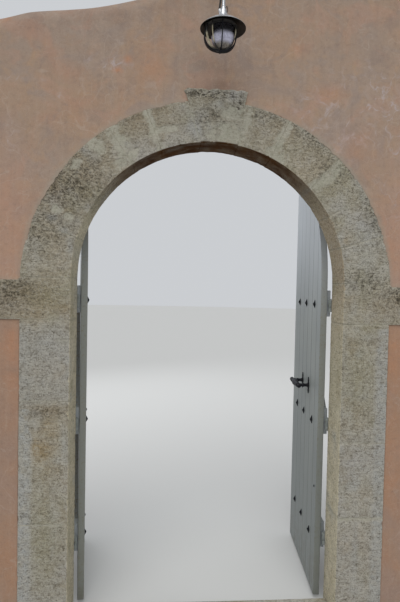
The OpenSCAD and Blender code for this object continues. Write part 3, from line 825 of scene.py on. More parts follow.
def weather(p, n, seed, own, beds):
    """Depth of wear into the stone in metres, and the masks, for points p in
    the row frame. n is the direction of each in the stone's own box (a, l, d),
    own the same points in that box, beds [(distance, half width)] of mortar."""
    x, y, z = p[:, 0], p[:, 1], p[:, 2]
    front = n[:, 2] < -0.4
    face = np.abs(n[:, 2])
    side = np.where(n[:, 0] < -0.3, 1.0, 0.0)
    undul = fbm(p, 0.12, 2, seed + 1)
    rough = fbm(p, 0.026, 3, 40)
    thick = fbm(p, 0.19, 3, 901)
    mx, mz = marks(x, z)
    dark = dark_zone(mx, mz) * np.where(front, 1.0, 0.8)
    dark = np.clip(dark * (0.75 + 0.9 * fbm(p, 0.05, 3, 77)), 0, 1)
    edge = ramp(np.sort(np.abs(n), axis=1)[:, 1], 0.15, 0.65)
    # mortar: by the beds, and in smears
    mort = np.zeros(len(p))
    wob = fbm(p, 0.045, 3, 512)
    rag = fbm(p, 0.024, 3, 513)
    thin = 0.55 + 0.45 * ramp(fbm(p, 0.09, 2, 514), -0.25, 0.30)
    for dist, half in beds:
        hw = np.maximum(half * (1 + 1.5 * wob + 0.9 * rag), 0.0)
        full = 0.40 if half < 0.0065 else 1.0
        mort = np.maximum(mort, (1 - ramp(dist, hw * 0.45, hw * 1.45 + 0.0012))
                          * thin * full)
    for cx, cz, rx, rz, turn in MORTAR_SPOTS:
        b = blob(mx, mz, cx, cz, rx * 1.15, rz * 1.15, turn) * face
        b = b * (1 + 0.9 * wob + 0.6 * rag) + 0.30 * wob + 0.22 * rag
        mort = np.maximum(mort, 0.85 * ramp(b, 0.30, 0.74))
    # irregular hollows, run together where the stone is dark, and a few holes
    q = p * (0.72, 1.0, 1.25)
    crumb = fbm(q, 0.0215, 3, 640, 0.62)
    dens = np.clip(0.04 + 0.26 * thick + 0.70 * dark + 0.06 * side, 0.0, 0.9)
    pit = ramp(crumb + 0.30 * fbm(p, 0.060, 2, seed + 9), 0.50 - 0.42 * dens,
               0.78 - 0.42 * dens)
    g1, _, r2 = cells(p, 0.085, seed + 31)
    size = 0.05 + 0.10 * np.modf(r2 * 37.0)[0]
    hole = ramp(size - g1 * (0.8 + 0.5 * rough) + 0.10 * rough, 0.0, 0.07)
    hole *= r2 < np.clip(0.14 + 0.30 * thick + 0.25 * dark, 0.03, 0.5)
    keep = 1 - 0.88 * mort
    # tooling: fine ridges across the face
    u = z + 0.016 * fbm(p, 0.075, 3, 640) + 0.05 * own[:, 0]
    ridge = 0.5 + 0.5 * np.sin(2 * math.pi * u / 0.021)
    tool = ramp(fbm(p, 0.21, 2, 333), -0.15, 0.35)
    tool = np.maximum(tool, 1.2 * blob(mx, mz, 0.86, 1.98, 0.12, 0.16))
    tool = np.maximum(tool, 0.9 * blob(mx, mz, -0.80, 1.36, 0.12, 0.14))
    tool = tool * face * keep
    h = (0.0013 * undul + 0.0012 * rough * keep + 0.0024 * pit * keep
         + 0.0030 * hole * keep + 0.0013 * ridge * tool
         + 0.0011 * (crumb + 0.35) * keep * (0.5 + 0.8 * dark)
         + 0.0012 * dark * keep * np.abs(rough) - 0.0007 * mort)
    # colours
    ang = np.degrees(np.arctan2(z - SPRING, np.abs(x)))
    outer = own[:, 0]
    arch = z > SPRING
    ochre = np.zeros(len(p))
    for cx, cz, rx, rz, k in ((-0.835, 0.850, 0.055, 0.055, 0.95),
                              (-0.80, 0.95, 0.08, 0.05, 0.45),
                              (-0.78, 0.72, 0.06, 0.08, 0.35),
                              (-0.90, 1.005, 0.035, 0.02, 0.7),
                              (-0.80, 1.60, 0.09, 0.07, 0.25),
                              (-0.79, 0.62, 0.04, 0.06, 0.35),
                              (0.775, 1.36, 0.03, 0.05, 0.5),
                              (0.80, 1.05, 0.03, 0.10, 0.35),
                              (-0.73, 2.06, 0.04, 0.03, 0.5),
                              (-0.77, 2.17, 0.04, 0.03, 0.4),
                              (0.72, 1.95, 0.02, 0.05, 0.4)):
        ochre = np.maximum(ochre, k * blob(mx, mz, cx, cz, rx, rz))
    warm = ramp(fbm(p, 0.085, 3, 222), 0.05, 0.55)
    ochre = np.clip(ochre * (0.8 + 0.9 * rough) + 0.30 * warm
                    * ramp(0.13 - outer, 0, 0.10) * ~arch, 0, 1)
    pale = 0.55 * ramp(fbm(p, 0.15, 3, 111), 0.10, 0.55)
    low_left = (x < 0) & (mz < 1.05)
    strip = ramp(outer + 0.010 * fbm(p, 0.05, 3, 73), 0.168, 0.206) * (mz < 1.48)
    pale = np.maximum(pale, strip * (0.75 + 0.6 * rough)
                      * np.where(low_left, 0.80, np.where(x > 0, 0.66, 0.28)))
    for cx, cz, rx, rz, k in ((-0.775, 2.02, 0.03, 0.022, 0.9),
                              (-0.722, 1.955, 0.03, 0.025, 0.8),
                              (-0.69, 1.88, 0.02, 0.06, 0.7),
                              (0.80, 1.34, 0.022, 0.028, 0.9),
                              (0.815, 1.12, 0.035, 0.028, 0.7),
                              (0.83, 1.97, 0.07, 0.10, 0.45),
                              (0.83, 1.80, 0.06, 0.08, 0.45),
                              (-0.80, 1.36, 0.08, 0.10, 0.40),
                              (-0.775, 0.55, 0.025, 0.16, 0.45),
                              (-0.72, 0.88, 0.02, 0.10, 0.5),
                              (0.80, 0.30, 0.02, 0.20, 0.5)):
        pale = np.maximum(pale, k * blob(mx, mz, cx, cz, rx, rz))
    pale = np.clip(pale * (1.0 + 0.8 * rough), 0, 1) * (1 - 0.6 * dark)
    olive = 0.75 * ramp(fbm(p, 0.17, 3, 55), 0.0, 0.6)
    olive = np.maximum(olive, 0.7 * blob(mx, mz, -0.82, 0.40, 0.09, 0.30))
    olive = np.maximum(olive, 0.6 * blob(mx, mz, -0.80, 1.62, 0.13, 0.08))
    olive = np.maximum(olive, 0.75 * blob(mx, mz, 0.80, 1.22, 0.10, 0.24))
    olive = np.maximum(olive, 0.5 * blob(mx, mz, 0.70, 2.30, 0.30, 0.08, 50))
    olive = np.clip(olive * (0.9 + 0.5 * rough), 0, 1) * (1 - strip)
    # the arch's underside, painted dark as painted shade
    soffit = side * ramp(ang, 22, 62) * arch
    soffit = np.clip(soffit * (0.92 + 0.35 * fbm(p, 0.06, 3, 12)), 0, 1)
    line = np.zeros(len(p))
    brown, cool = tones(p)
    masks = {"pit": np.clip(pit * keep * (0.40 + 0.55 * dark)
                            + 0.5 * hole * keep, 0, 1),
             "mortar": mort, "dark": dark * keep, "ochre": ochre,
             # reveal carries painted light on the reveals
             "pale": pale, "olive": olive, "reveal": side * (1 - soffit),
             # soffit carries painted shade under the arch
             "soffit": soffit, "line": line, "brown": brown,
             "cool": cool,
             # edge: the worn arrises, lightened also as a painted highlight
             "edge": edge * (1 - mort) * ramp(rough, -0.4, 0.3)}
    return h, masks


def stone(name, node, width, length, place, seed, bands=(0.004, 0.004),
          wear=0.0038, step=0.0060):
    A = lines(width, step)
    L = lines(length, step, (0.0, 0.0005, 0.0014, 0.0040))
    D = lines(2 * HALF, 0.0076)
    nd = len(D)
    ks = [0, 1, 2, 3, nd - 4, nd - 3, nd - 2, nd - 1]
    pts, faces = lattice(A, L, D, ks)
    flat = place(pts)
    # the long arrises are worn round, the beds meet their neighbours sharply
    r = wear * (1 + 0.75 * fbm(flat, 0.05, 3, seed + 3)
                + 0.5 * fbm(flat, 0.018, 2, seed + 6))
    chip, _, who = cells(flat, 0.055, seed + 4)
    r = r + 0.009 * ramp(0.42 - chip, 0, 0.25) * (who < 0.30)
    r = np.clip(r, 0.0012, 0.014)
    lim = np.array([width, 2 * HALF])
    ad = pts[:, (0, 2)]
    q = np.clip(ad, r[:, None], lim - r[:, None])
    dv = ad - q
    long_ = np.linalg.norm(dv, axis=1)
    nn = dv / np.maximum(long_, 1e-9)[:, None]
    n = np.stack([nn[:, 0], np.zeros(len(pts)), nn[:, 1]], 1)
    body = pts.copy()
    body[:, (0, 2)] = np.where((long_ > 1e-9)[:, None], q + nn * r[:, None], ad)
    bed = np.minimum(pts[:, 1], length - pts[:, 1])
    lip = 0.0009 * (1 + 0.8 * fbm(flat, 0.03, 2, seed + 8))
    lip = lip * (1 - np.sqrt(np.clip(1 - (1 - bed / 0.0014) ** 2, 0, 1)))
    lip = np.where(bed < 0.0014, np.maximum(lip, 0), 0.0)
    beds = [(pts[:, 1], bands[0]), (length - pts[:, 1], bands[1])]
    h, masks = weather(place(body), n, seed, pts, beds)
    middle = long_ < 1e-9
    h = np.where(middle | (n[:, 0] > 0.9), 0.0, h + lip)
    body = body - n * h[:, None]
    out = place(body)
    o = new_object(name, out, faces, STONE, 50.0, masks)
    return finish_piece(o, "masonry", "dressed_stone", node, smooth=50.0)


GAP = 0.0014


def straight(side, z0, z1, x0=R_IN):
    """Upright stone: a from the opening outward, l up, d from front to back."""
    def place(p):
        return np.stack([side * (x0 + p[:, 0]), p[:, 2] - HALF,
                         z0 + p[:, 1]], 1)
    return place


def key_angle(side, r):
    """Angle at which the keystone's side meets the radius r."""
    top, low_ = (KEY[1], KEY[2]) if side > 0 else (KEY[0], KEY[3])
    x0, z0 = low_[0], low_[1] - SPRING
    dx, dz = top[0] - low_[0], top[1] - low_[1]
    a = dx * dx + dz * dz
    b = 2 * (x0 * dx + z0 * dz)
    c = x0 * x0 + z0 * z0 - r * r
    t = (-b + np.sqrt(b * b - 4 * a * c)) / (2 * a)
    return np.arctan2(z0 + t * dz, x0 + t * dx)


def curved(side, a0, a1, length):
    """Arch stone between two angles in degrees. a1 None: up to the keystone."""
    def place(p):
        r = R_IN + p[:, 0]
        for _ in range(3):
            lo = math.radians(a0) + (1 if side > 0 else -1) * GAP / r
            if a1 is None:
                hi = key_angle(side, r)
            else:
                hi = np.full(len(r), math.radians(a1))
            hi = hi - (1 if side > 0 else -1) * GAP / r
            t = lo + (hi - lo) * p[:, 1] / length
            r = R_IN + p[:, 0] * (back_radius(t) - R_IN) / 0.25
        return np.stack([r * np.cos(t), p[:, 2] - HALF,
                         SPRING + r * np.sin(t)], 1)
    return place


def key_place(width, height):
    """Keystone: a from the soffit up, l from left to right."""
    def place(p):
        v = p[:, 0] / height
        u = p[:, 1] / width
        zs = np.linspace(0, 1, 3)
        lo_l, lo_r = [], []
        for s, keep in ((-1, lo_l), (1, lo_r)):
            a = float(key_angle(s, np.array([R_IN]))[0])
            keep += [R_IN * math.cos(a), SPRING + R_IN * math.sin(a)]
        xl = lo_l[0] + (KEY[0][0] - lo_l[0]) * v + GAP
        xr = lo_r[0] + (KEY[1][0] - lo_r[0]) * v - GAP
        x = xl + (xr - xl) * u
        arc = SPRING + np.sqrt(R_IN ** 2 - np.clip(
            lo_l[0] + (lo_r[0] - lo_l[0]) * u, -0.6, 0.6) ** 2)
        z = arc + (KEY[0][1] - arc) * v
        # the head is broken: a ragged top, and corners knocked off
        q = np.stack([x, np.zeros(len(x)), np.full(len(x), 9.0)], 1)
        loss = 0.0050 + 0.0085 * fbm(q, 0.050, 3, 905) + 0.004 * fbm(q, 0.016, 2, 906)
        loss += 0.010 * ramp(np.abs(u - 0.5), 0.42, 0.5)
        z = z - np.clip(loss, 0.0, 0.018) * ramp(v, 0.86, 1.0)
        q = np.stack([np.full(len(x), 9.0), np.sign(u - 0.5), z], 1)
        loss = np.clip(0.0030 + 0.0080 * fbm(q, 0.040, 3, 907), 0.0, 0.010)
        above = ramp(v, 0.62, 0.72)
        x = x + loss * above * (ramp(u, 0.06, 0.0) - ramp(u, 0.94, 1.0))
        return np.stack([x, p[:, 2] - HALF, z], 1)
    return place


def build_stones():
    for side, word, beds in ((-1, "left", LEFT_BEDS), (1, "right", RIGHT_BEDS)):
        for k, part in enumerate(("lower", "middle", "upper")):
            z0 = beds[k] + (GAP if k else 0.0)
            z1 = beds[k + 1] - GAP
            node = f"{word}_jamb_{part}"
            wide = {(-1, 1): 0.006, (-1, 2): 0.006, (1, 1): 0.010,
                    (1, 2): 0.006}
            stone("stone_" + node, node, 0.25, z1 - z0, straight(side, z0, z1),
                  100 + 10 * k + (5 if side > 0 else 0),
                  (wide.get((side, k), 0.005), wide.get((side, k + 1), 0.005)))
    for side, word, joints in ((-1, "left", LEFT_JOINTS),
                               (1, "right", RIGHT_JOINTS)):
        smear = {(-1, 3): 0.016, (-1, 4): 0.017, (1, 3): 0.014, (1, 4): 0.016,
                 (-1, 5): 0.006, (1, 5): 0.012, (-1, 2): 0.006}
        for k in range(5):
            a0 = joints[k]
            a1 = joints[k + 1] if k < 4 else None
            end = a1 if a1 is not None else (97.0 if side < 0 else 80.0)
            length = math.radians(abs(end - a0)) * 0.825
            node = f"{word}_voussoir_{k + 1}"
            stone("stone_" + node, node, 0.25, length,
                  curved(side, a0, a1, length),
                  200 + 11 * k + (5 if side > 0 else 0),
                  (smear.get((side, k), 0.004), smear.get((side, k + 1), 0.004)))
        node = f"{word}_impost"
        impost(side, node)
    stone("stone_keystone", "keystone", KEY[0][1] - SPRING - R_IN, 0.26,
          key_place(0.26, KEY[0][1] - SPRING - R_IN), 301, (0.003, 0.011),
          wear=0.0088)
    threshold()


def impost(side, node):
    """The block that runs out past the jamb under the springing."""
    tall = SPRING - IMPOST[0] - 2 * GAP

    def place(p):
        a = p[:, 0]
        top = np.where(a < 0.25, SPRING, IMPOST[1])
        k = ramp(a, 0.247, 0.262)
        top = SPRING + (IMPOST[1] - SPRING) * k - GAP
        lo = IMPOST[0] + GAP
        z = lo + (top - lo) * p[:, 1] / tall
        return np.stack([side * (R_IN + a), p[:, 2] - HALF, z], 1)
    stone("stone_" + node, node, IMPOST_END - R_IN, tall, place,
          401 + (5 if side > 0 else 0), (0.005, 0.004), wear=0.005)


def threshold():
    """A low slab between the jambs, worn in the middle."""
    # a from the outer edge inward, l along, d from top to underside
    A = lines(HALF + SILL_BACK, 0.009, (0.0, 0.0012, 0.003, 0.006))
    L = lines(2 * R_IN - 0.002, 0.009, (0.0, 0.0012, 0.003, 0.006))
    D = np.array([0.0, 0.0015, 0.004, 0.010, 0.019, 0.029, 0.040, 0.0498])
    pts, faces = lattice(A, L, D, list(range(8)))
    size = np.array([A[-1], L[-1], D[-1]])
    flat = pts.copy()
    r = np.clip(0.0035 * (1 + 0.7 * fbm(flat, 0.05, 3, 7)), 0.0012, 0.007)[:, None]
    q = np.clip(pts, r, size - r)
    d = pts - q
    n = d / np.maximum(np.linalg.norm(d, axis=1), 1e-9)[:, None]
    body = q + n * r
    up = n[:, 2] < -0.3
    x = -R_IN + body[:, 1] + 0.001
    worn = 0.0035 * np.exp(-(x / 0.42) ** 2)
    rough = fbm(flat, 0.03, 3, 9)
    h = np.where(up, worn + 0.0009 * rough + 0.0008 * fbm(flat, 0.12, 2, 3), 0.0006 * rough)
    h = np.where(n[:, 2] > 0.3, 0.0, np.maximum(h, 0))
    body = body - n * h[:, None]
    out = np.stack([x, -HALF + body[:, 0], SILL - body[:, 2]], 1)
    out[:, 2] = np.maximum(out[:, 2], 0.0)
    zero = np.zeros(len(out))
    masks = {k: zero for k in ("pit", "mortar", "dark", "ochre", "soffit", "line",
                               "brown", "cool")}
    # edge: the worn arrises, lightened also as a painted highlight
    masks.update({"pale": 0.6 * ramp(fbm(flat, 0.2, 3, 4), -0.2, 0.5),
                  "olive": 0.5 * ramp(fbm(flat, 0.15, 3, 5), -0.1, 0.5),
                  "reveal": zero, "edge": 0.8 * ramp(np.sort(np.abs(n), axis=1)[:, 1], 0.15, 0.65)})
    o = new_object("stone_threshold", out, faces, STONE, 50.0, masks)
    finish_piece(o, "masonry", "dressed_stone", "threshold", smooth=50.0)


def joint_mortar():
    """Bedding mortar in the joints: thin slabs that stop just behind the faces."""
    b = Build()
    masks = {k: [] for k in ("pit", "mortar", "dark", "ochre", "pale", "olive",
                             "reveal", "soffit", "line", "edge", "brown",
                             "cool")}

    def slab(place, width, seed, thick, full=0.6):
        deep = 2 * HALF
        A = np.linspace(0.0, width, max(3, int(width / 0.007)))
        D = np.concatenate([[0.0, 0.002], np.linspace(0.010, deep - 0.010, 16),
                            [deep - 0.002, deep]])
        W = np.array([0.0, thick / 2, thick])
        na, nd = len(A), len(D)
        rows = []
        for k, d in enumerate(D):
            path = ([(a, W[0]) for a in A] + [(A[-1], W[1])]
                    + [(a, W[2]) for a in A[::-1]] + [(A[0], W[1])])
            rows.append([(a, w, d) for a, w in path])
        arr = np.array(rows).reshape(-1, 3)
        p = place(arr)
        back = 0.0011 - 0.0006 * full + 0.0009 * fbm(p, 0.022, 3, seed)
        d = arr[:, 2]
        y = p[:, 1]
        back = back + 0.0040 * (1 - ramp(arr[:, 0], 0.0, 0.0085))
        y = np.where(d < 0.001, y + back, y)
        y = np.where(d > deep - 0.001, y - back, y)
        p[:, 1] = y
        n = len(rows[0])
        b.loft([[tuple(p[i * n + j]) for j in range(n)] for i in range(nd)])
        ang = np.degrees(np.arctan2(p[:, 2] - SPRING, np.abs(p[:, 0])))
        inner = ((arr[:, 0] < 0.004) & (d > 0.003)).astype(float)
        sof = inner * ramp(ang, 22, 62) * (p[:, 2] > SPRING)
        for key in masks:
            masks[key].append(np.zeros(len(p)))
        masks["mortar"][-1] = np.clip((1.4 * full - 0.85) * (
            0.8 + 0.8 * fbm(p, 0.05, 3, 514)), 0.0, 0.9)
        # reveal: painted light, as on the stones
        masks["reveal"][-1] = inner * (1 - sof)
        # soffit: painted shade, as on the stones
        masks["soffit"][-1] = sof
        masks["dark"][-1] = 0.8 * dark_zone(*marks(p[:, 0], p[:, 2]))
        brown, cool = tones(p)
        masks["brown"][-1] = brown
        masks["cool"][-1] = cool
        masks["olive"][-1] = 0.75 * ramp(fbm(p, 0.17, 3, 55), 0.0, 0.6) * (1 - inner)
        masks["pale"][-1] = 0.55 * ramp(fbm(p, 0.15, 3, 111), 0.10, 0.55)
        # the slabs' faces painted lighter: painted light against the shade in the joints
        masks["edge"][-1] = 0.9 * (1 - sof)

    inset = 0.0016
    wide = {(-1, 1): 1.0, (-1, 2): 1.0, (1, 1): 1.0, (1, 2): 0.5}
    for side, beds in ((-1, LEFT_BEDS), (1, RIGHT_BEDS)):
        for k in (1, 2, 3):
            z = beds[k]
            def at(p, side=side, z=z):
                return np.stack([side * (R_IN + inset + p[:, 0]),
                                 p[:, 2] - HALF, z - 0.0024 + p[:, 1]], 1)
            slab(at, 0.243, 700 + k, 0.0048, wide.get((side, k), 0.6))
        def at(p, side=side):
            return np.stack([side * (R_IN + inset + p[:, 0]),
                             p[:, 2] - HALF, SPRING - 0.0024 + p[:, 1]], 1)
        slab(at, 0.243, 711, 0.0048)
    for side, joints in ((-1, LEFT_JOINTS), (1, RIGHT_JOINTS)):
        for k in (1, 2, 3, 4, 5):
            def at(p, side=side, joints=joints, k=k):
                r = R_IN + inset + p[:, 0]
                for _ in range(2):
                    t = (key_angle(side, r) if k == 5
                         else np.full(len(r), math.radians(joints[k])))
                    r = R_IN + inset + p[:, 0] * (
                        back_radius(t) - R_IN - 2 * inset) / 0.243
                t = t + (p[:, 1] - 0.0024) / r
                return np.stack([r * np.cos(t), p[:, 2] - HALF,
                                 SPRING + r * np.sin(t)], 1)
            slab(at, 0.243, 730 + k + (7 if side > 0 else 0), 0.0048,
                 1.0 if k > 2 else 0.7)
    o = b.object("joint_mortar", STONE, smooth=60.0,
                 masks={k: np.concatenate(v) for k, v in masks.items()})
    finish_piece(o, "masonry", "dressed_stone", smooth=60.0)


# ---------------------------------------------------------------- wall
def crest(x):
    """Height of the rounded top, the same cubic as the frame's."""
    xs = np.array([p[0] for p in CREST])
    zs = np.array([p[1] for p in CREST])
    m = np.zeros(len(xs))
    m[1:-1] = (zs[2:] - zs[:-2]) / (xs[2:] - xs[:-2])
    x = np.asarray(x, dtype=float)
    i = np.clip(np.searchsorted(xs, x, side="left") - 1, 1, len(xs) - 3)
    h = xs[i + 1] - xs[i]
    t = (x - xs[i]) / h
    return (zs[i] * (1 + 2 * t) * (1 - t) ** 2 + zs[i + 1] * t * t * (3 - 2 * t)
            + h * m[i] * t * (1 - t) ** 2 - h * m[i + 1] * t * t * (1 - t))


def shoulder(x):
    return crest(x) - FACE


def stone_outline(inset=0.0, step=0.006):
    """Outer outline of the dressed stone, from the ground on the left over the
    arch to the ground on the right, drawn in by inset."""
    def side(s):
        x = R_OUT - inset
        pts = [(x, 0.0), (x, IMPOST[0] + inset), (IMPOST_END - inset, IMPOST[0] + inset),
               (IMPOST_END - inset, IMPOST[1] - inset),
               (x if inset else R_OUT, IMPOST[1] - inset)]
        if x > 0:
            pts.append((x, SPRING))
        r, low_z = BACK_R - inset, SPRING - DROP
        # the keystone's side, drawn in
        top, low_ = (KEY[1], KEY[2]) if s > 0 else (KEY[0], KEY[3])
        sgn = 1 if s > 0 else -1
        kx0, kz0 = low_[0] - sgn * inset, low_[1] - low_z
        dx, dz = top[0] - low_[0], top[1] - low_[1]
        a = dx * dx + dz * dz
        b = 2 * (kx0 * dx + kz0 * dz)
        c = kx0 * kx0 + kz0 * kz0 - r * r
        t = (-b + math.sqrt(b * b - 4 * a * c)) / (2 * a)
        hit = (kx0 + t * dx, kz0 + t * dz)
        ang = math.atan2(hit[1], sgn * hit[0])
        n = int(ang * r / step)
        first = math.asin(DROP / r)
        for k in range(1, n + 1):
            w = first + (ang - first) * k / n
            pts.append((r * math.cos(w), low_z + r * math.sin(w)))
        zt = KEY[0][1] - inset
        tt = (zt - low_z - kz0) / dz
        pts.append((sgn * (kx0 + tt * dx), zt))
        return pts
    left = [(-p[0], p[1]) for p in side(-1)]
    right = side(1)
    return left + right[::-1]


def resample(pts, step):
    out = []
    for a, b in zip(pts[:-1], pts[1:]):
        d = math.dist(a, b)
        n = max(1, round(d / step))
        out += [(a[0] + (b[0] - a[0]) * k / n, a[1] + (b[1] - a[1]) * k / n)
                for k in range(n)]
    return np.array(out + [pts[-1]])


OUTLINE = np.array(stone_outline(0.0))


def from_outline(p):
    """Distance to the stone's outline (positive outside it, in the render) and
    the nearest point on it, for points (x, z)."""
    A, B = OUTLINE[:-1], OUTLINE[1:]
    AB = B - A
    L2 = (AB ** 2).sum(1)
    best = np.full(len(p), 1e9)
    foot = np.zeros((len(p), 2))
    for s in range(0, len(p), 4000):
        q = p[s:s + 4000]
        t = np.clip(((q[:, None, :] - A) * AB).sum(2) / L2, 0, 1)
        F = A + t[..., None] * AB
        d = np.sqrt(((q[:, None, :] - F) ** 2).sum(2))
        k = d.argmin(1)
        r = np.arange(len(q))
        best[s:s + 4000] = d[r, k]
        foot[s:s + 4000] = F[r, k]
    x, z = np.abs(p[:, 0]), p[:, 1]
    inside = (x < R_OUT) & (z < SPRING)
    inside |= (x < IMPOST_END) & (z > IMPOST[0]) & (z < IMPOST[1])
    inside |= (x * x + (z - SPRING + DROP) ** 2 < BACK_R ** 2) & (z >= SPRING)
    zk = (z - KEY[3][1]) / (KEY[0][1] - KEY[3][1])
    kl = KEY[3][0] + (KEY[0][0] - KEY[3][0]) * zk
    kr = KEY[2][0] + (KEY[1][0] - KEY[2][0]) * zk
    inside |= ((p[:, 0] > kl) & (p[:, 0] < kr) & (z > KEY[3][1])
               & (z < KEY[0][1]))
    return np.where(inside, -best, best), foot


def edge_wander(f):
    """How far the render's edge strays over the stone, and how far it is
    brought out over the stone's face, at points f of the outline."""
    q = np.stack([f[:, 0], np.zeros(len(f)), f[:, 1]], 1)
    n = 0.65 * fbm(q, 0.085, 2, 61) + 0.55 * noise(q, 0.026, 62)
    ang = np.degrees(np.arctan2(f[:, 1] - SPRING, f[:, 0]))
    arch = (f[:, 1] > SPRING - 0.01).astype(float)
    key = ((np.abs(f[:, 0] - 0.012) < 0.20) & (f[:, 1] > 2.71)).astype(float)
    over = arch * (0.70 + 0.9 * fbm(q, 0.16, 2, 63))
    over = np.maximum(over, arch * np.exp(-((ang - 150) / 16) ** 2))
    over = np.maximum(over, arch * np.exp(-((ang - 48) / 14) ** 2))
    over *= 1 - 0.92 * key
    top_of_block = ((np.abs(f[:, 0]) > R_OUT) & (f[:, 1] > IMPOST[1] - 0.01)
                    & (f[:, 1] < IMPOST[1] + 0.01)).astype(float)
    over = np.maximum(over, 0.55 * top_of_block)
    over = np.clip(over, 0, 1)
    amp = 0.0036 + 0.0105 * over + 0.0036 * key
    shift = (amp * n + 0.0055 * over) * (1 - key) + 0.020 * key
    return shift, over


def build_wall():
    rng = np.random.default_rng(7)
    # offset lines along the stone's edge
    base = resample(list(map(tuple, OUTLINE)), 0.0062)
    tang = np.gradient(base, axis=0)
    tang /= np.linalg.norm(tang, axis=1)[:, None]
    nrm = np.stack([-tang[:, 1], tang[:, 0]], 1)
    shift, _ = edge_wander(base)
    pts = []
    offs = (-0.020, -0.011, -0.0085, -0.0066, -0.0050, -0.0036, -0.0012,
            0.002, 0.006, 0.012, 0.021, 0.033, 0.048)
    for o in offs:
        q = base + nrm * (o - shift)[:, None]
        d, f = from_outline(q)
        s, _ = edge_wander(f)
        pts.append(q[np.abs(d + s - o) < 0.0012 + 0.05 * abs(o)])
    fine = np.vstack(pts)
    # thin out points that crowd at inner corners
    order = np.lexsort((fine[:, 1], fine[:, 0]))
    fine = fine[order]
    seen, keep = set(), []
    for k, (a, b) in enumerate(np.round(fine / 0.0011).astype(int)):
        if (a, b) not in seen:
            seen.add((a, b))
            keep.append(k)
    fine = fine[keep]
    # open field
    step = 0.0185
    gx = np.arange(-WALL + 0.012, WALL - 0.010, step)
    gz = np.arange(0.012, 3.60, step * 0.866)
    X, Z = np.meshgrid(gx, gz)
    X = X + (np.arange(len(gz)) % 2)[:, None] * step / 2
    grid = np.stack([X.ravel(), Z.ravel()], 1)
    grid = grid + rng.uniform(-0.0022, 0.0022, grid.shape)
    d, f = from_outline(grid)
    s, _ = edge_wander(f)
    ok = ((d + s > 0.056) & (grid[:, 1] < shoulder(grid[:, 0]) - 0.010)
          & (np.abs(grid[:, 0]) < WALL - 0.009) & (grid[:, 1] > 0.009))
    grid = grid[ok]
    hidden = resample([tuple(p) for p in stone_outline(0.030, 0.02)], 0.02)
    # outer boundary: ground, ends, shoulder, with two close lines inside
    def frame_line(ins):
        xs = np.linspace(-WALL + ins, WALL - ins, 196)
        zs_l = np.linspace(ins, float(shoulder(-WALL)) - ins * 0.6, 158)
        zs_r = np.linspace(ins, float(shoulder(WALL)) - ins * 0.6, 184)
        return xs, zs_l, zs_r
    xs, zl, zr = frame_line(0.0)
    top = [(x, float(shoulder(x))) for x in xs]
    left = [(-WALL, z) for z in zl[1:-1]]
    right = [(WALL, z) for z in zr[1:-1]]
    hl, hr = hidden[0], hidden[-1]
    ground_l = [(x, 0.0) for x in np.linspace(-WALL, hl[0], 46)[:-1]]
    ground_r = [(x, 0.0) for x in np.linspace(hr[0], WALL, 46)[1:]]
    loop = (ground_l + [tuple(p) for p in hidden] + ground_r + right
            + top[::-1] + left[::-1])
    loop = np.array(loop)
    extra = []
    for ins in (0.0028, 0.0062):
        ex, ezl, ezr = frame_line(ins)
        extra += [(-WALL + ins, z) for z in ezl] + [(WALL - ins, z) for z in ezr]
    extra = np.array(extra)
    extra = extra[extra[:, 1] > 0.004]
    fine = fine[(fine[:, 1] > 0.004)]
    allp = np.vstack([loop, extra, fine, grid])
    n_loop = len(loop)
    edges = [(k, (k + 1) % n_loop) for k in range(n_loop)]
    v2, _, f2, orig, _, _ = geometry.delaunay_2d_cdt(
        [Vector(p) for p in allp.tolist()], edges, [], 1, 1e-7)
    P = np.array([tuple(v) for v in v2])
    # drop triangles outside the outline of the wall (the opening)
    tri = np.array([f for f in f2 if len(f) == 3])
    cen = P[tri].mean(1)
    poly = loop
    inside = np.zeros(len(cen), bool)
    x, z = cen[:, 0], cen[:, 1]
    j = len(poly) - 1
    for i in range(len(poly)):
        xi, zi = poly[i]
        xj, zj = poly[j]
        hit = ((zi > z) != (zj > z))
        with np.errstate(divide="ignore", invalid="ignore"):
            inside ^= hit & (x < (xj - xi) * (z - zi) / (zj - zi + 1e-18) + xi)
        j = i
    tri = tri[inside]
    area = 0.5 * np.abs(np.cross(P[tri[:, 1]] - P[tri[:, 0]],
                                 P[tri[:, 2]] - P[tri[:, 0]]))
    used = np.unique(tri)
    remap = -np.ones(len(P), int)
    remap[used] = np.arange(len(used))
    P, tri = P[used], remap[tri]
    # boundary, in order
    count = {}
    for t in tri.tolist():
        for a, b in ((t[0], t[1]), (t[1], t[2]), (t[2], t[0])):
            count[(a, b)] = 1
    nxt = {a: b for (a, b) in count if (b, a) not in count}
    start = next(iter(nxt))
    ring = [start]
    while nxt[ring[-1]] != start:
        ring.append(nxt[ring[-1]])
    # surface
    d, foot = from_outline(P)
    shift, over = edge_wander(foot)
    e = d + shift
    stone_y = HALF + 0.0006
    def surface(sign, seed):
        q = np.stack([P[:, 0], np.full(len(P), sign * FACE), P[:, 1]], 1)
        und = (0.0026 * fbm(q, 0.55, 2, seed) + 0.0020 * fbm(q, 0.19, 3, seed + 5)
               + 0.0007 * fbm(q, 0.055, 2, seed + 9))
        calm = ramp(e, 0.0, 0.12)
        y = FACE + und * (0.35 + 0.65 * calm)
        ramp_up = np.exp(-np.maximum(e, 0) / 0.045) * over
        y = y + (stone_y + 0.0010 - FACE) * ramp_up
        y = np.where(over > 0.02, y, y)
        # the edge itself: rounded over, then down behind the stone's face
        down = ramp(-e, 0.0010, 0.0062)
        y = y - down * (0.012 + 0.004 * over)
        # small round at the wall's ends
        end = WALL - np.abs(P[:, 0])
        y = y - 0.0032 * (1 - ramp(end, 0.0, 0.0065)) - 0.0
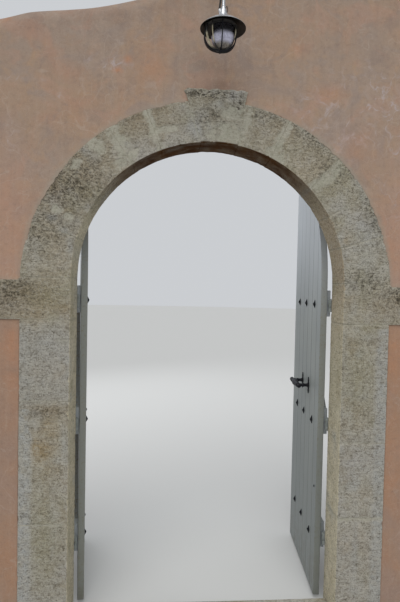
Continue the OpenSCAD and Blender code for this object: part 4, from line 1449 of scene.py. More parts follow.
        # the top, next to the round, keeps its line
        near_top = ramp(shoulder(P[:, 0]) - P[:, 1], 0.0, 0.05)
        y = FACE + (y - FACE) * (0.35 + 0.65 * near_top)
        return sign * y
    yf, yb = surface(-1, 11), surface(1, 47)
    n = len(P)
    verts = np.vstack([np.stack([P[:, 0], yf, P[:, 1]], 1),
                       np.stack([P[:, 0], yb, P[:, 1]], 1)])
    faces = [tuple(t) for t in tri.tolist()]
    faces += [(n + t[2], n + t[1], n + t[0]) for t in tri.tolist()]
    verts = verts.tolist()
    m = len(ring)
    rows = 13
    tops = {}
    on_top = [abs(P[k][1] - shoulder(P[k][0])) < 1e-6 for k in ring]
    def top_row(k):
        """Vertices of the half-round over boundary point k."""
        if k not in tops:
            row = [k]
            x, z = P[k]
            for j in range(1, rows):
                t = math.pi * j / rows
                row.append(len(verts))
                verts.append([x, -FACE * math.cos(t), z + FACE * math.sin(t)])
            row.append(n + k)
            tops[k] = row
        return tops[k]
    sides = []
    for a in range(m):
        b = (a + 1) % m
        ka, kb = ring[a], ring[b]
        if on_top[a] and on_top[b]:
            ra, rb = top_row(ka), top_row(kb)
            for j in range(rows):
                faces.append((ra[j + 1], rb[j + 1], rb[j], ra[j]))
        else:
            faces.append((n + ka, n + kb, kb, ka))
    # half-round ends
    for sgn in (-1, 1):
        k = next(q for q, t in zip(ring, on_top)
                 if t and abs(P[q][0] - sgn * WALL) < 1e-6)
        row = top_row(k)
        faces.append(tuple(row) if sgn > 0 else tuple(row[::-1]))
    verts = np.array(verts)
    top_part = np.arange(len(verts)) >= 2 * n
    q = verts.copy()
    bump = (0.0022 * fbm(q, 0.33, 2, 81) + 0.0012 * fbm(q, 0.09, 3, 82)) - 0.0022
    cz = shoulder(q[:, 0])
    rad = np.sqrt(q[:, 1] ** 2 + (q[:, 2] - cz) ** 2)
    w = np.where(top_part, ramp(q[:, 2] - cz, 0.0, 0.05), 0.0)
    verts[:, 1] += np.where(top_part, q[:, 1] / np.maximum(rad, 1e-6) * bump * w, 0)
    verts[:, 2] += np.where(top_part, (q[:, 2] - cz) / np.maximum(rad, 1e-6) * bump * w, 0)
    # masks
    x, y, z = verts[:, 0], verts[:, 1], verts[:, 2]
    e_all = np.concatenate([e, e, np.full(len(verts) - 2 * n, 0.5)])
    over_all = np.concatenate([over, over, np.zeros(len(verts) - 2 * n)])
    p = verts
    mx, mz = marks(x, z)
    n1 = fbm(p, 0.10, 4, 91)
    n2 = fbm(p, 0.30, 3, 92)
    salt = np.zeros(len(p))
    for cx, cz_, rx, rz, k, turn in (
            (0.80, 2.62, 0.34, 0.20, 0.62, 15), (0.88, 2.74, 0.16, 0.10, 0.7, 30),
            (0.98, 2.70, 0.055, 0.12, 0.9, 15), (1.02, 2.46, 0.08, 0.10, 0.8, -10),
            (1.05, 2.20, 0.10, 0.16, 0.55, 0),
            (0.80, 2.73, 0.03, 0.05, 0.7, 0), (0.78, 2.80, 0.05, 0.02, 0.6, 20),
            (0.50, 2.68, 0.10, 0.02, 0.45, 30), (0.60, 2.60, 0.07, 0.02, 0.45, 25),
            (-0.50, 2.82, 0.10, 0.03, 0.7, -5), (-0.93, 2.72, 0.09, 0.012, 0.6, -3),
            (-0.75, 2.62, 0.05, 0.06, 0.35, 40), (0.35, 2.62, 0.05, 0.02, 0.4, 0),
            (-0.98, 2.42, 0.03, 0.08, 0.45, 0), (0.94, 2.20, 0.04, 0.10, 0.35, 0),
            (-1.45, 1.9, 0.10, 0.16, 0.5, 20), (1.42, 2.5, 0.12, 0.14, 0.5, -20),
            (1.5, 1.2, 0.10, 0.2, 0.4, 0), (-1.3, 0.8, 0.08, 0.2, 0.35, 10)):
        salt = np.maximum(salt, k * blob(mx, mz, cx, cz_, rx, rz, turn))
    f1, f2, _ = cells(p, 0.075, 95)
    vein = 1 - ramp(f2 - f1, 0.02, 0.16)
    salt = np.clip(salt * (0.35 + 0.9 * vein + 0.9 * n1), 0, 1)
    wide = ramp(n2, 0.22, 0.55) * vein * 0.30 * ramp(x, -0.2, 0.7)
    salt = np.maximum(salt, wide)
    rust = np.zeros(len(p))
    for cx, cz_, rx, rz, k in ((-0.405, 2.845, 0.02, 0.02, 0.9),
                               (-0.46, 2.79, 0.02, 0.012, 0.9),
                               (-0.27, 2.79, 0.08, 0.05, 0.55),
                               (-1.0, 3.03, 0.03, 0.02, 0.6),
                               (0.62, 2.72, 0.08, 0.05, 0.5),
                               (0.34, 2.55, 0.10, 0.05, 0.5),
                               (0.46, 2.95, 0.03, 0.03, 0.6),
                               (0.99, 1.42, 0.05, 0.20, 0.55),
                               (-0.98, 1.35, 0.05, 0.25, 0.5),
                               (1.0, 0.75, 0.08, 0.25, 0.3),
                               (0.78, 2.45, 0.10, 0.12, 0.35),
                               (0.95, 1.86, 0.06, 0.10, 0.35)):
        rust = np.maximum(rust, k * blob(mx, mz, cx, cz_, rx, rz))
    rust = np.clip(rust * (0.7 + 1.2 * n1), 0, 1)
    stain = 0.75 * blob(mx, mz, 0.06, 2.735, 0.11, 0.055)
    stain = np.maximum(stain, 0.45 * blob(mx, mz, 0.05, 2.83, 0.16, 0.10))
    stain = np.clip(stain * (0.9 + 0.8 * n1), 0, 1) * (y < 0)
    crown = ramp(crest(x) - z, 0.34, 0.02)
    stain = np.maximum(stain, 0.30 * crown * ramp(n1, -0.3, 0.5))
    cement = 0.55 * over_all * (1 - ramp(e_all, 0.004, 0.030 + 0.02 * n1))
    # a dark line where the render turns down behind the stone's edge: painted shadow in the gap
    line = (1 - over_all) * (1 - ramp(np.abs(e_all - 0.0), 0.0010, 0.0042))
    line = line * ramp(e_all, -0.012, -0.004) * np.clip(0.45 + 1.8 * n1, 0.05, 1)
    masks = {"salt": salt, "rust": rust, "stain": stain, "cement": cement,
             "line": np.clip(line, 0, 1) * 0.8}
    o = new_object("rendered_wall", verts, faces, RENDER, 180.0, masks)
    finish_piece(o, "masonry", "render", "left_wall", "right_wall",
                 "left_spandrel", "right_spandrel", "left_capping",
                 "right_capping", smooth=52.0)
    return o


# ---------------------------------------------------------------- leaves
JOINTS = (LEAF_X1, 0.609, 0.496, 0.385, 0.275, 0.1645, MEET)
BRACES = ((0.600, 0.442, 0.150, 0.950), (0.655, 1.098, 0.215, 1.623))


def hang(side):
    """From a closed leaf, drawn on the right, to where it stands."""
    t = math.radians(-OPEN[1] if side > 0 else OPEN[-1])
    c, s = math.cos(t), math.sin(t)

    def place(p):
        p = np.asarray(p, dtype=float)
        x = side * p[..., 0] - side * R_IN
        y = p[..., 1] - AXIS_Y
        return np.stack([side * R_IN + x * c - y * s,
                         AXIS_Y + x * s + y * c, p[..., 2]], -1)
    return place


def rounded(A, L, D, r_of, seed, shape):
    """A box's skin with its edges rounded; shape is not used."""
    nd = len(D)
    pts, faces = lattice(A, L, D, list(range(nd)))
    size = np.array([A[-1], L[-1], D[-1]])
    r = np.clip(r_of(pts), 0.0004, size.min() * 0.45)[:, None]
    q = np.clip(pts, r, size - r)
    d = pts - q
    n = d / np.maximum(np.linalg.norm(d, axis=1), 1e-9)[:, None]
    return q + n * r, n, faces


def board_piece(side, word):
    rng = np.random.default_rng(31 + side)
    place = hang(side)
    keys = ("board", "groove", "edge", "end", "across", "painted_light", "painted_shade_low")
    V, F, M = [], [], {k: [] for k in keys}
    total = 0

    def put(out, faces, masks):
        nonlocal total
        V.append(out)
        F.extend(tuple(total + k for k in f) for f in faces)
        # painted light towards the top of each leaf, most on the right one, with the ledges' lit ends
        # added in; painted shade towards the bottom
        masks["painted_light"] = ramp(out[:, 2], 1.45, 2.30) * (1.0 if side > 0 else 0.25)
        masks["painted_light"] = np.maximum(masks["painted_light"], masks.get("lit", 0.0))
        masks["painted_shade_low"] = ramp(out[:, 2], 1.55, 0.60) * (1.0 if side > 0 else 0.10)
        for k in M:
            M[k].append(np.clip(masks.get(k, np.zeros(len(out))), 0, 1))
        total += len(out)

    for k in range(6):
        x1, x0 = JOINTS[k], JOINTS[k + 1]
        g0 = 0.0 if k == 5 else 0.0004
        g1 = 0.0 if k == 0 else 0.0004
        x0, x1 = x0 + g0, x1 - g1
        w = x1 - x0
        if k == 0:
            top = SPRING + math.sqrt(LEAF_X1 ** 2 - (x0 + 0.004) ** 2)
        else:
            top = SPRING + math.sqrt(LEAF_X1 ** 2 - x1 ** 2)
        h = top - LEAF_LOW
        A = lines(w, 0.013, (0.0, 0.0011, 0.0024, 0.0036, 0.0065))
        L = lines(h, 0.030, (0.0, 0.0011, 0.0026, 0.006, 0.012))
        D = lines(BOARD_T, 0.010, (0.0, 0.0011, 0.0024, 0.0036))
        box, n, faces = rounded(A, L, D, lambda p: np.full(len(p), 0.0034),
                                k, None)
        a, l, d = box.T
        # cupping, waves along the board and worn arrises
        flat = np.stack([x0 + a, d, LEAF_LOW + l], 1)
        cup = rng.uniform(-0.0006, 0.0006)
        tilt = rng.uniform(-0.0005, 0.0005)
        u = (a / w - 0.5) * 2
        yoff = cup * (1 - u * u) + tilt * u
        yoff = yoff + 0.0005 * fbm(flat, 0.22, 2, 50 + k + 7 * side)
        yoff = yoff - 0.0003
        front = np.where(n[:, 2] < -0.2, 1.0, 0.0)
        dd = np.clip(d - yoff * front * -1.0, 0.0, BOARD_T)
        if k == 0:
            z = LEAF_LOW + l
            right = np.where(z > SPRING, np.sqrt(np.maximum(
                LEAF_X1 ** 2 - (z - SPRING) ** 2, 0)), LEAF_X1)
            x = x0 + (right - x0) * a / w
        else:
            x = x0 + a
            arc = SPRING + np.sqrt(LEAF_X1 ** 2 - np.clip(x, 0, x1) ** 2)
            z = LEAF_LOW + (arc - LEAF_LOW) * l / h
        out = place(np.stack([x, BOARD_Y + dd, z], 1))
        near = np.minimum(a, w - a)
        inner = np.ones(len(a)) if 0 < k < 5 else (
            (a < w / 2) if k == 0 else (a > w / 2)).astype(float)
        groove = (1 - ramp(near, 0.0006, 0.0036)) * inner
        edge = 1 - ramp(np.minimum(np.minimum(near, l), h - l), 0.001, 0.007)
        end = (np.abs(n[:, 1]) > 0.7) | ((k == 0) & (n[:, 0] > 0.8))
        put(out, faces, {"board": np.full(len(a), rng.uniform(0.0, 1.0)),
                         "groove": groove, "edge": edge,
                         "end": end.astype(float)})
        if k < 5:
            # tongue between this board and the next
            b = Build()
            xs = x0 - 0.0004
            top = SPRING + math.sqrt(LEAF_X1 ** 2 - (xs + 0.006) ** 2) - 0.004
            ring = [(xs - 0.005, BOARD_Y + 0.014), (xs + 0.005, BOARD_Y + 0.014),
                    (xs + 0.005, BOARD_Y + 0.022), (xs - 0.005, BOARD_Y + 0.022)]
            b.loft([[(x, y, z) for x, y in ring]
                    for z in (LEAF_LOW + 0.004, top)])
            v = np.array(b.v)
            put(place(v), b.f, {"groove": np.ones(len(v))})
    o = new_object(f"{word}_leaf_boards", np.vstack(V), F, WOOD, 50.0,
                   {k: np.concatenate(v) for k, v in M.items()})
    finish_piece(o, f"{word}_leaf", "painted_wood", f"{word}_boards", smooth=40.0)

    # ledges across the back, and the braces between them
    V, F, M = [], [], {k: [] for k in keys}
    total = 0
    x0, x1 = MEET + 0.024, LEAF_X1 - 0.014
    for k, (z0, z1) in enumerate(LEDGES):
        A = lines(z1 - z0, 0.014, (0.0, 0.0012, 0.0028, 0.0045))
        L = lines(x1 - x0, 0.028, (0.0, 0.0012, 0.0028, 0.0045))
        D = lines(LEDGE_T, 0.007, (0.0, 0.0012, 0.0028, 0.0045))
        box, n, faces = rounded(A, L, D, lambda p: 0.0030
                                * (1 + 0.4 * fbm(p, 0.06, 2, 3)), k, None)
        a, l, d = box.T
        out = place(np.stack([x0 + l, HALF + LEDGE_T - d, z0 + a], 1))
        near = np.minimum(np.minimum(a, z1 - z0 - a), np.minimum(l, x1 - x0 - l))
        put(out, faces, {"board": np.full(len(a), rng.uniform(0, 1)),
                         "edge": 1 - ramp(near, 0.001, 0.007),
                         "end": (np.abs(n[:, 1]) > 0.7).astype(float),
                         # the ledge's hinge end, painted lighter: painted light
                         "lit": 0.9 * (n[:, 1] > 0.7),
                         "across": np.ones(len(a))})
    for k, (xa, za, xb, zb) in enumerate(BRACES):
        # a parallelogram between two ledges; 90 mm wide along the ledge
        wide = 0.115
        A = lines(wide, 0.014, (0.0, 0.0012, 0.0028, 0.0045))
        L = np.linspace(0.0, zb - za, 24)
        D = lines(LEDGE_T, 0.007, (0.0, 0.0012, 0.0028, 0.0045))
        pts, faces = lattice(A, L, D, list(range(len(D))))
        size = np.array([wide, 9.0, LEDGE_T])
        r = 0.0028
        q = np.clip(pts, [r, -9.0, r], [wide - r, 9.0, LEDGE_T - r])
        dv = pts - q
        n = dv / np.maximum(np.linalg.norm(dv, axis=1), 1e-9)[:, None]
        box = q + n * r
        a, l, d = box.T
        t = l / (zb - za)
        x = xa + (xb - xa) * t - a
        out = place(np.stack([x, HALF + LEDGE_T - 0.0006 - d * 0.97,
                              za + l], 1))
        near = np.minimum(a, wide - a)
        put(out, faces, {"board": np.full(len(a), rng.uniform(0, 1)),
                         "edge": 1 - ramp(near, 0.001, 0.007),
                         "across": np.full(len(a), 0.5)})
    o = new_object(f"{word}_leaf_ledges", np.vstack(V), F, WOOD, 50.0,
                   {k: np.concatenate(v) for k, v in M.items()})
    finish_piece(o, f"{word}_leaf", "painted_wood", f"{word}_ledges",
                 f"{word}_braces", smooth=40.0)


def transform(b, place, start):
    """Moves the points added to a build since start."""
    if len(b.v) > start:
        q = place(np.array(b.v[start:]))
        b.v[start:] = [tuple(p) for p in q]


def dome(b, at, r, h, axis, n=20, sign=1.0):
    """A round head standing on a face."""
    prof = [(r, -0.001)]
    prof += [(r * math.cos(t), h * math.sin(t) * sign)
             for t in np.linspace(0.0, math.pi / 2, 6)[:-1]]
    prof += [(0.0, h * sign), (0.0, -0.001 * sign)]
    prof[0] = (r, -0.001 * sign)
    b.lathe(prof[:-1] + [(0.0, -0.001 * sign)], at, n, axis=axis)


def strap_piece(side, word):
    place = hang(side)
    rng = np.random.default_rng(53 + side)
    b = Build()
    face = HALF + LEDGE_T
    for z in HINGES:
        # eye
        b.lathe([(0.00608, -0.0190), (0.0070, -0.0200), (0.0112, -0.0200),
                 (0.0120, -0.0190), (0.0120, 0.0190), (0.0112, 0.0200),
                 (0.0070, 0.0200), (0.00608, 0.0190)], (R_IN, AXIS_Y, z), 40)
        # plate: half width along its length
        xs, hs = [], []
        for s, h in ((0.003, 0.0196), (0.030, 0.0195), (0.075, 0.0186), (0.120, 0.0176),
                     (0.165, 0.0166), (0.210, 0.0155), (0.250, 0.0144), (0.270, 0.0138),
                     (0.280, 0.0165), (0.290, 0.0205), (0.300, 0.0234),
                     (0.311, 0.0185), (0.322, 0.0125), (0.333, 0.0065), (0.343, 0.0012)):
            xs.append(R_IN - s)
            hs.append(h + rng.uniform(-0.0003, 0.0003))
        rings = []
        for x, h in zip(xs, hs):
            t = 0.0055
            e = min(0.0012, h * 0.4)
            y0, y1 = face, face + t
            w = 0.00025 * math.sin(x * 190.0 + z * 7.0)
            rings.append([(x, y0, z - h), (x, y1 - e, z - h), (x, y1 - 0.0002 + w * 0, z - h + e),
                          (x, y1 - 0.0001 - abs(w), z - h * 0.4), (x, y1 - abs(w), z),
                          (x, y1 - 0.0001 - abs(w), z + h * 0.4),
                          (x, y1 - 0.0002, z + h - e), (x, y1 - e, z + h), (x, y0, z + h)])
        b.loft(rings)
        for s, r in ((0.055, 0.0085), (0.150, 0.0085), (0.235, 0.0080), (0.300, 0.0080)):
            dome(b, (R_IN - s, face + 0.0054, z), r, 0.0045, "Y", sign=-1.0)
    # clenched ends of the studs, where no strap covers them
    for z in STUD_Z:
        for s in STUD_S:
            if s > 0.2 or min(abs(z - h) for h in HINGES) > 0.028:
                dome(b, (LEAF_X1 - s, face, z), 0.0075, 0.0035, "Y", sign=-1.0)
    transform(b, place, 0)
    o = b.object(f"{word}_leaf_straps", HINGE, smooth=40.0)
    finish_piece(o, f"{word}_leaf", "painted_iron", f"{word}_straps", smooth=40.0)

    # studs on the face
    b = Build()
    for z in STUD_Z:
        for s in STUD_S:
            t = rng.uniform(-0.05, 0.05)
            k = rng.uniform(0.93, 0.985)
            c, sn = math.cos(t), math.sin(t)
            rings = []
            for w, h, y in ((0.0148, 0.0247, 0.0008), (0.0150, 0.0250, -0.0012),
                            (0.0144, 0.0240, -0.0021), (0.0100, 0.0165, -0.0052),
                            (0.0052, 0.0086, -0.0093), (0.0018, 0.0030, -0.0124)):
                ring = []
                for j in range(16):
                    a = 2 * math.pi * j / 16
                    ca, sa = math.cos(a), math.sin(a)
                    m = 1.0 / (abs(ca) + abs(sa))
                    m = m * (1 + 0.02 * math.cos(4 * a)) / 1.02
                    px, pz = w * k * ca * m, h * k * sa * m
                    ring.append((LEAF_X1 - s + px * c - pz * sn,
                                 BOARD_Y + y, z + px * sn + pz * c))
                rings.append(ring)
            b.loft(rings)
    if side > 0:
        # a small bolt by the hinge edge
        dome(b, (LEAF_X1 - 0.038, BOARD_Y, 0.640), 0.0075, 0.0045, "Y", sign=1.0)
    transform(b, place, 0)
    o = b.object(f"{word}_leaf_studs", IRON, smooth=28.0)
    finish_piece(o, f"{word}_leaf", "black_iron", f"{word}_studs", smooth=28.0)


def pintle_piece(side, word):
    b = Build()
    for z in HINGES:
        at = (side * R_IN, AXIS_Y, z - 0.0465)
        b.lathe([(0.0, 0.0005), (0.0088, 0.0005), (0.0100, 0.0018), (0.0100, 0.0245),
                 (0.0092, 0.0260), (0.0060, 0.0260), (0.0060, 0.0715),
                 (0.0048, 0.0735), (0.0, 0.0740)], at, 32)
        t = math.radians(-45.0 if side > 0 else 225.0)
        c, s = math.cos(t), math.sin(t)
        rings = []
        for u in (0.002, 0.012, 0.022, 0.0285):
            e = 0.0012
            sec = [(-0.006 + e, 0.006), (0.006 - e, 0.006), (0.006, 0.006 + e),
                   (0.006, 0.020 - e), (0.006 - e, 0.020), (-0.006 + e, 0.020),
                   (-0.006, 0.020 - e), (-0.006, 0.006 + e)]
            rings.append([(at[0] + u * c - v * s, at[1] + u * s + v * c, at[2] + w)
                          for v, w in sec])
        b.loft(rings)
    o = b.object(f"{word}_hinge_pins", HINGE, smooth=40.0)
    finish_piece(o, "masonry", "painted_iron", f"{word}_pintles", smooth=40.0)


# ---------------------------------------------------------------- handle
HANDLE_Z = 1.184
HANDLE_OUT = 0.066
GRIP_S = (0.240, 0.401)


def handle():
    place = hang(1)
    b = Build()
    outline = [(0.0, -0.051), (0.012, -0.032), (0.009, -0.022), (0.0165, -0.009),
               (0.019, 0.0), (0.0165, 0.009), (0.009, 0.022), (0.012, 0.032),
               (0.0, 0.051), (-0.012, 0.032), (-0.009, 0.022), (-0.0165, 0.009),
               (-0.019, 0.0), (-0.0165, -0.009), (-0.009, -0.022), (-0.012, -0.032)]
    for s in GRIP_S:
        rings = []
        for y, k in ((0.0006, 0.99), (-0.0034, 1.0), (-0.0048, 0.93)):
            rings.append([(LEAF_X1 - s + px * k, BOARD_Y + y, HANDLE_Z + pz * k)
                          for px, pz in outline])
        b.loft(rings)
        for dz in (-0.032, 0.032):
            dome(b, (LEAF_X1 - s, BOARD_Y - 0.0046, HANDLE_Z + dz), 0.0042,
                 0.0020, "Y", sign=1.0)
    transform(b, place, 0)
    o = b.object("handle_plates", IRON, smooth=40.0)
    finish_piece(o, "right_leaf", "black_iron", "handle_plates", smooth=40.0)

    b = Build()
    y = BOARD_Y - HANDLE_OUT
    mid = LEAF_X1 - (GRIP_S[0] + GRIP_S[1]) / 2
    reach = (GRIP_S[1] - GRIP_S[0]) / 2
    for s in GRIP_S:
        x = LEAF_X1 - s
        prof = [(0.0, 0.0), (0.0138, 0.0), (0.0138, 0.0028), (0.0108, 0.0056),
                (0.0094, 0.0150), (0.0094, 0.0220), (0.0118, 0.0270),
                (0.0118, 0.0310), (0.0096, 0.0360), (0.0098, 0.0600), (0.0, 0.0610)]
        b.lathe(prof, (x, BOARD_Y - 0.0046, HANDLE_Z), 28, axis="Y")
    prof = []
    half = [(0.0, 0.0196), (0.0030, 0.0198), (0.0060, 0.0188), (0.0100, 0.0190),
            (0.0200, 0.0180), (0.0300, 0.0168), (0.0400, 0.0156),
            (0.0500, 0.0145), (0.0600, 0.0133), (0.0660, 0.0120),
            (0.0685, 0.0116), (0.0710, 0.0124), (0.0745, 0.0142),
            (0.0790, 0.0150), (0.0835, 0.0148), (0.0875, 0.0133),
            (0.0905, 0.0108), (0.0930, 0.0084), (0.0955, 0.0078),
            (0.0975, 0.0086), (0.1000, 0.0104), (0.1035, 0.0122),
            (0.1080, 0.0130), (0.1125, 0.0126), (0.1160, 0.0108),
            (0.1190, 0.0078), (0.1208, 0.0042), (0.1214, 0.0)]
    k = (reach + 0.0410) / 0.1215
    prof = [(r, -u * k) for u, r in half[::-1]] + [(r, u * k) for u, r in half[1:]]
    b.lathe(prof, (mid, y, HANDLE_Z), 36, axis="X")
    transform(b, place, 0)
    o = b.object("handle_grip", IRON, smooth=60.0)
    finish_piece(o, "right_leaf", "black_iron", "handle_grip", smooth=60.0)


# ---------------------------------------------------------------- lantern
LAMP_X = 0.009
LAMP_OUT = 0.307
LAMP_Y = -FACE - LAMP_OUT
RIM_Z = 2.913
PLATE_Z = 3.285
CAGE = -0.009


def curve(pts, n=5):
    """A smooth line through points in the plane, n steps from each to the next."""
    pts = [np.array(q, dtype=float) for q in pts]
    out = []
    for k in range(len(pts) - 1):
        a = pts[max(k - 1, 0)]
        b, c = pts[k], pts[k + 1]
        d = pts[min(k + 2, len(pts) - 1)]
        for j in range(n):
            t = j / n
            out.append(0.5 * (2 * b + (c - a) * t + (2 * a - 5 * b + 4 * c - d) * t * t
                              + (3 * b - a - 3 * c + d) * t ** 3))
    out.append(pts[-1])
    return out


def lantern():
    at = (LAMP_X, LAMP_Y, RIM_Z)
    cage = (LAMP_X + CAGE, LAMP_Y, RIM_Z)

    # wall plate
    b = Build()
    b.lathe([(0.0, -0.001), (0.036, -0.001), (0.036, 0.0030), (0.0345, 0.0047),
             (0.020, 0.0050), (0.0165, 0.0066), (0.0150, 0.0085), (0.0150, 0.0130),
             (0.0140, 0.0140), (0.0, 0.0140)], (LAMP_X, -FACE, PLATE_Z), 64, axis="Y")
    for k in range(3):
        t = math.radians(90 + 120 * k)
        dome(b, (LAMP_X + 0.027 * math.cos(t), -FACE - 0.0048,
                 PLATE_Z + 0.027 * math.sin(t)), 0.0035, 0.0018, "Y", sign=1.0)
    o = b.object("lamp_wall_plate", LAMP, smooth=40.0)
    finish_piece(o, "masonry", "lamp_metal", "lamp_wall_plate", smooth=40.0)

    # arm: out of the wall, over a bend, down to the cap
    r, bend = 0.008, 0.130
    path = [(LAMP_X, -FACE - 0.0135, PLATE_Z)]
    for k in range(1, 8):
        path.append((LAMP_X, -FACE - 0.014 - (LAMP_OUT - 0.014 - bend) * k / 8, PLATE_Z))
    for k in range(25):
        t = math.radians(90 * k / 24)
        path.append((LAMP_X, LAMP_Y + bend - bend * math.sin(t),
                     PLATE_Z - bend + bend * math.cos(t)))
    low_end = RIM_Z + 0.0950
    for k in range(1, 9):
        path.append((LAMP_X, LAMP_Y, PLATE_Z - bend - (PLATE_Z - bend - low_end) * k / 8))
    b = Build()
    b.tube(path, r, 32)
    # the cable, clipped to the arm's left side and led into the cap's gland
    cable = []
    for k, (x, y, z) in enumerate(path):
        q = k / (len(path) - 1)
        if k == 0:
            cable.append((x - 0.0124, -FACE - 0.0052, z))
        cable.append((x - 0.0124 - 0.0006 * math.sin(9 * q), y, z))
    cable = cable[:-4]
    x, y, z = LAMP_X, LAMP_Y, RIM_Z
    cable += [(x - 0.0128, y, z + 0.129), (x - 0.0142, y, z + 0.114),
              (x - 0.0160, y, z + 0.100), (x - 0.0168, y, z + 0.090),
              (x - 0.0158, y, z + 0.080), (x - 0.0130, y, z + 0.070)]
    b.tube(cable, 0.0042, 14, index=1)
    for zc in (0.158, 0.205):
        b.tube([(x + 0.0092 * math.cos(t) - 0.0062 * (math.cos(t) < 0)
                 * abs(math.cos(t)), y + 0.0092 * math.sin(t), z + zc)
                for t in np.radians(np.arange(0, 361, 15))], 0.0011, 8, index=1)
    o = b.object("lamp_arm", mats=[LAMP, HOLDER], smooth=50.0)
    finish_piece(o, "masonry", "lamp_metal", "lamp_arm", smooth=50.0)

    # cap, with the cable's gland on its left and a small eye on its right
    b = Build()
    b.lathe([(0.0, 0.0445), (0.0184, 0.0445), (0.0190, 0.0455), (0.0190, 0.0630),
             (0.0184, 0.0650), (0.0172, 0.0656), (0.0166, 0.0705), (0.0158, 0.0762),
             (0.0146, 0.0800), (0.0136, 0.0835), (0.0128, 0.0862), (0.0116, 0.0895),
             (0.0106, 0.0930), (0.0094, 0.0960), (0.0088, 0.0968), (0.0, 0.0968)], at, 64)
    b.tube([(x - 0.0085, y - 0.0010, z + 0.0540), (x - 0.0110, y - 0.0010, z + 0.0630),
            (x - 0.0136, y - 0.0005, z + 0.0720), (x - 0.0156, y, z + 0.0800),
            (x - 0.0164, y, z + 0.0850)], [0.0074, 0.0076, 0.0074, 0.0068, 0.0058], 24)
    eye = [(at[0] + 0.0128 + 0.0050 * math.cos(t), at[1] - 0.009,
            at[2] + 0.0800 + 0.0125 * math.sin(t))
           for t in np.radians(np.linspace(-150, 150, 22))]
    b.tube(eye, 0.0017, 10, index=1)
    o = b.object("lamp_cap", mats=[LAMP, HOLDER], smooth=40.0)
    finish_piece(o, "masonry", "lamp_metal", "lamp_cap", smooth=40.0)

    # shade: metal outside, inside painted near black as painted shade
    outer = [(0.0, 0.0460), (0.0196, 0.0460), (0.0225, 0.0454), (0.0330, 0.0418),
             (0.0450, 0.0373), (0.0590, 0.0302), (0.0720, 0.0233), (0.0830, 0.0156),
             (0.0920, 0.0088), (0.0975, 0.0040), (0.1005, 0.0012), (0.1014, 0.0001),
             (0.1009, -0.0006)]
    inner = [(0.0994, -0.0005), (0.0984, 0.0004), (0.0945, 0.0038), (0.0900, 0.0074),
             (0.0806, 0.0141), (0.0710, 0.0208), (0.0575, 0.0278), (0.0440, 0.0348),
             (0.0310, 0.0393), (0.0190, 0.0433), (0.0, 0.0433)]
    b = Build()
    n = 96
    b.lathe(outer + inner, at, n)
    out_faces = n + (len(outer) - 2) * n
    b.i = [0 if k < out_faces else 1 for k in range(len(b.f))]
    o = b.object("lamp_shade", mats=[LAMP, PAINTED_SHADE], smooth=60.0)
    finish_piece(o, "masonry", "lamp_metal", "lamp_shade", smooth=60.0)

    # holder: collar and the plate that carries glass and cage
    b = Build()
    b.lathe([(0.0, 0.0042), (0.0685, 0.0042), (0.0700, 0.0053), (0.0700, 0.0078),
             (0.0685, 0.0089), (0.0, 0.0089)], cage, 72)
    b.lathe([(0.0, 0.0085), (0.0190, 0.0085), (0.0190, 0.0120), (0.0170, 0.0140),
             (0.0170, 0.0440), (0.0, 0.0440)], at, 48)
    o = b.object("lamp_holder", HOLDER, smooth=40.0)
    finish_piece(o, "masonry", "lamp_holder", "lamp_holder", smooth=40.0)

    # glass jar with a rounded foot
    side = curve([(0.0510, 0.0044), (0.0510, -0.0200), (0.0504, -0.0400),
                  (0.0479, -0.0570), (0.0414, -0.0709), (0.0309, -0.0814),
                  (0.0160, -0.0874), (0.0, -0.0889)], 4)
    back = curve([(0.0, -0.0860), (0.0152, -0.0846), (0.0294, -0.0790),
                  (0.0392, -0.0690), (0.0452, -0.0560), (0.0475, -0.0396),
                  (0.0480, -0.0200), (0.0480, 0.0044)], 4)
    rz = [(max(float(q[0]), 0.0), float(q[1])) for q in side + back]
    b = Build()
    b.lathe(rz, at, 72)
    v = np.array(b.v)
    down = RIM_Z - v[:, 2]
    # low: the foot, with dust and a painted ground reflection; clear: clear glass, painted dark as
    # painted shade
    o = b.object("lamp_glass", GLASS, smooth=60.0,
                 masks={"low": ramp(down, 0.064, 0.080),
                        "clear": 1 - ramp(down, 0.022, 0.046)})
    finish_piece(o, "masonry", "lamp_glass", "lamp_glass", smooth=60.0)

    # bulb
    prof = [(0.0, -0.0580)]
    for t in np.linspace(-80, 50, 16):
        prof.append((0.0240 * math.cos(math.radians(t)),
                     -0.034 + 0.0240 * math.sin(math.radians(t))))
    prof += [(0.0128, -0.0110), (0.0120, -0.0060), (0.0118, 0.0044), (0.0, 0.0044)]
    b = Build()
    b.lathe(prof, at, 48)
    o = b.object("lamp_bulb", OPAL, smooth=60.0)
    finish_piece(o, "masonry", "bulb_glass", "lamp_bulb", smooth=60.0)

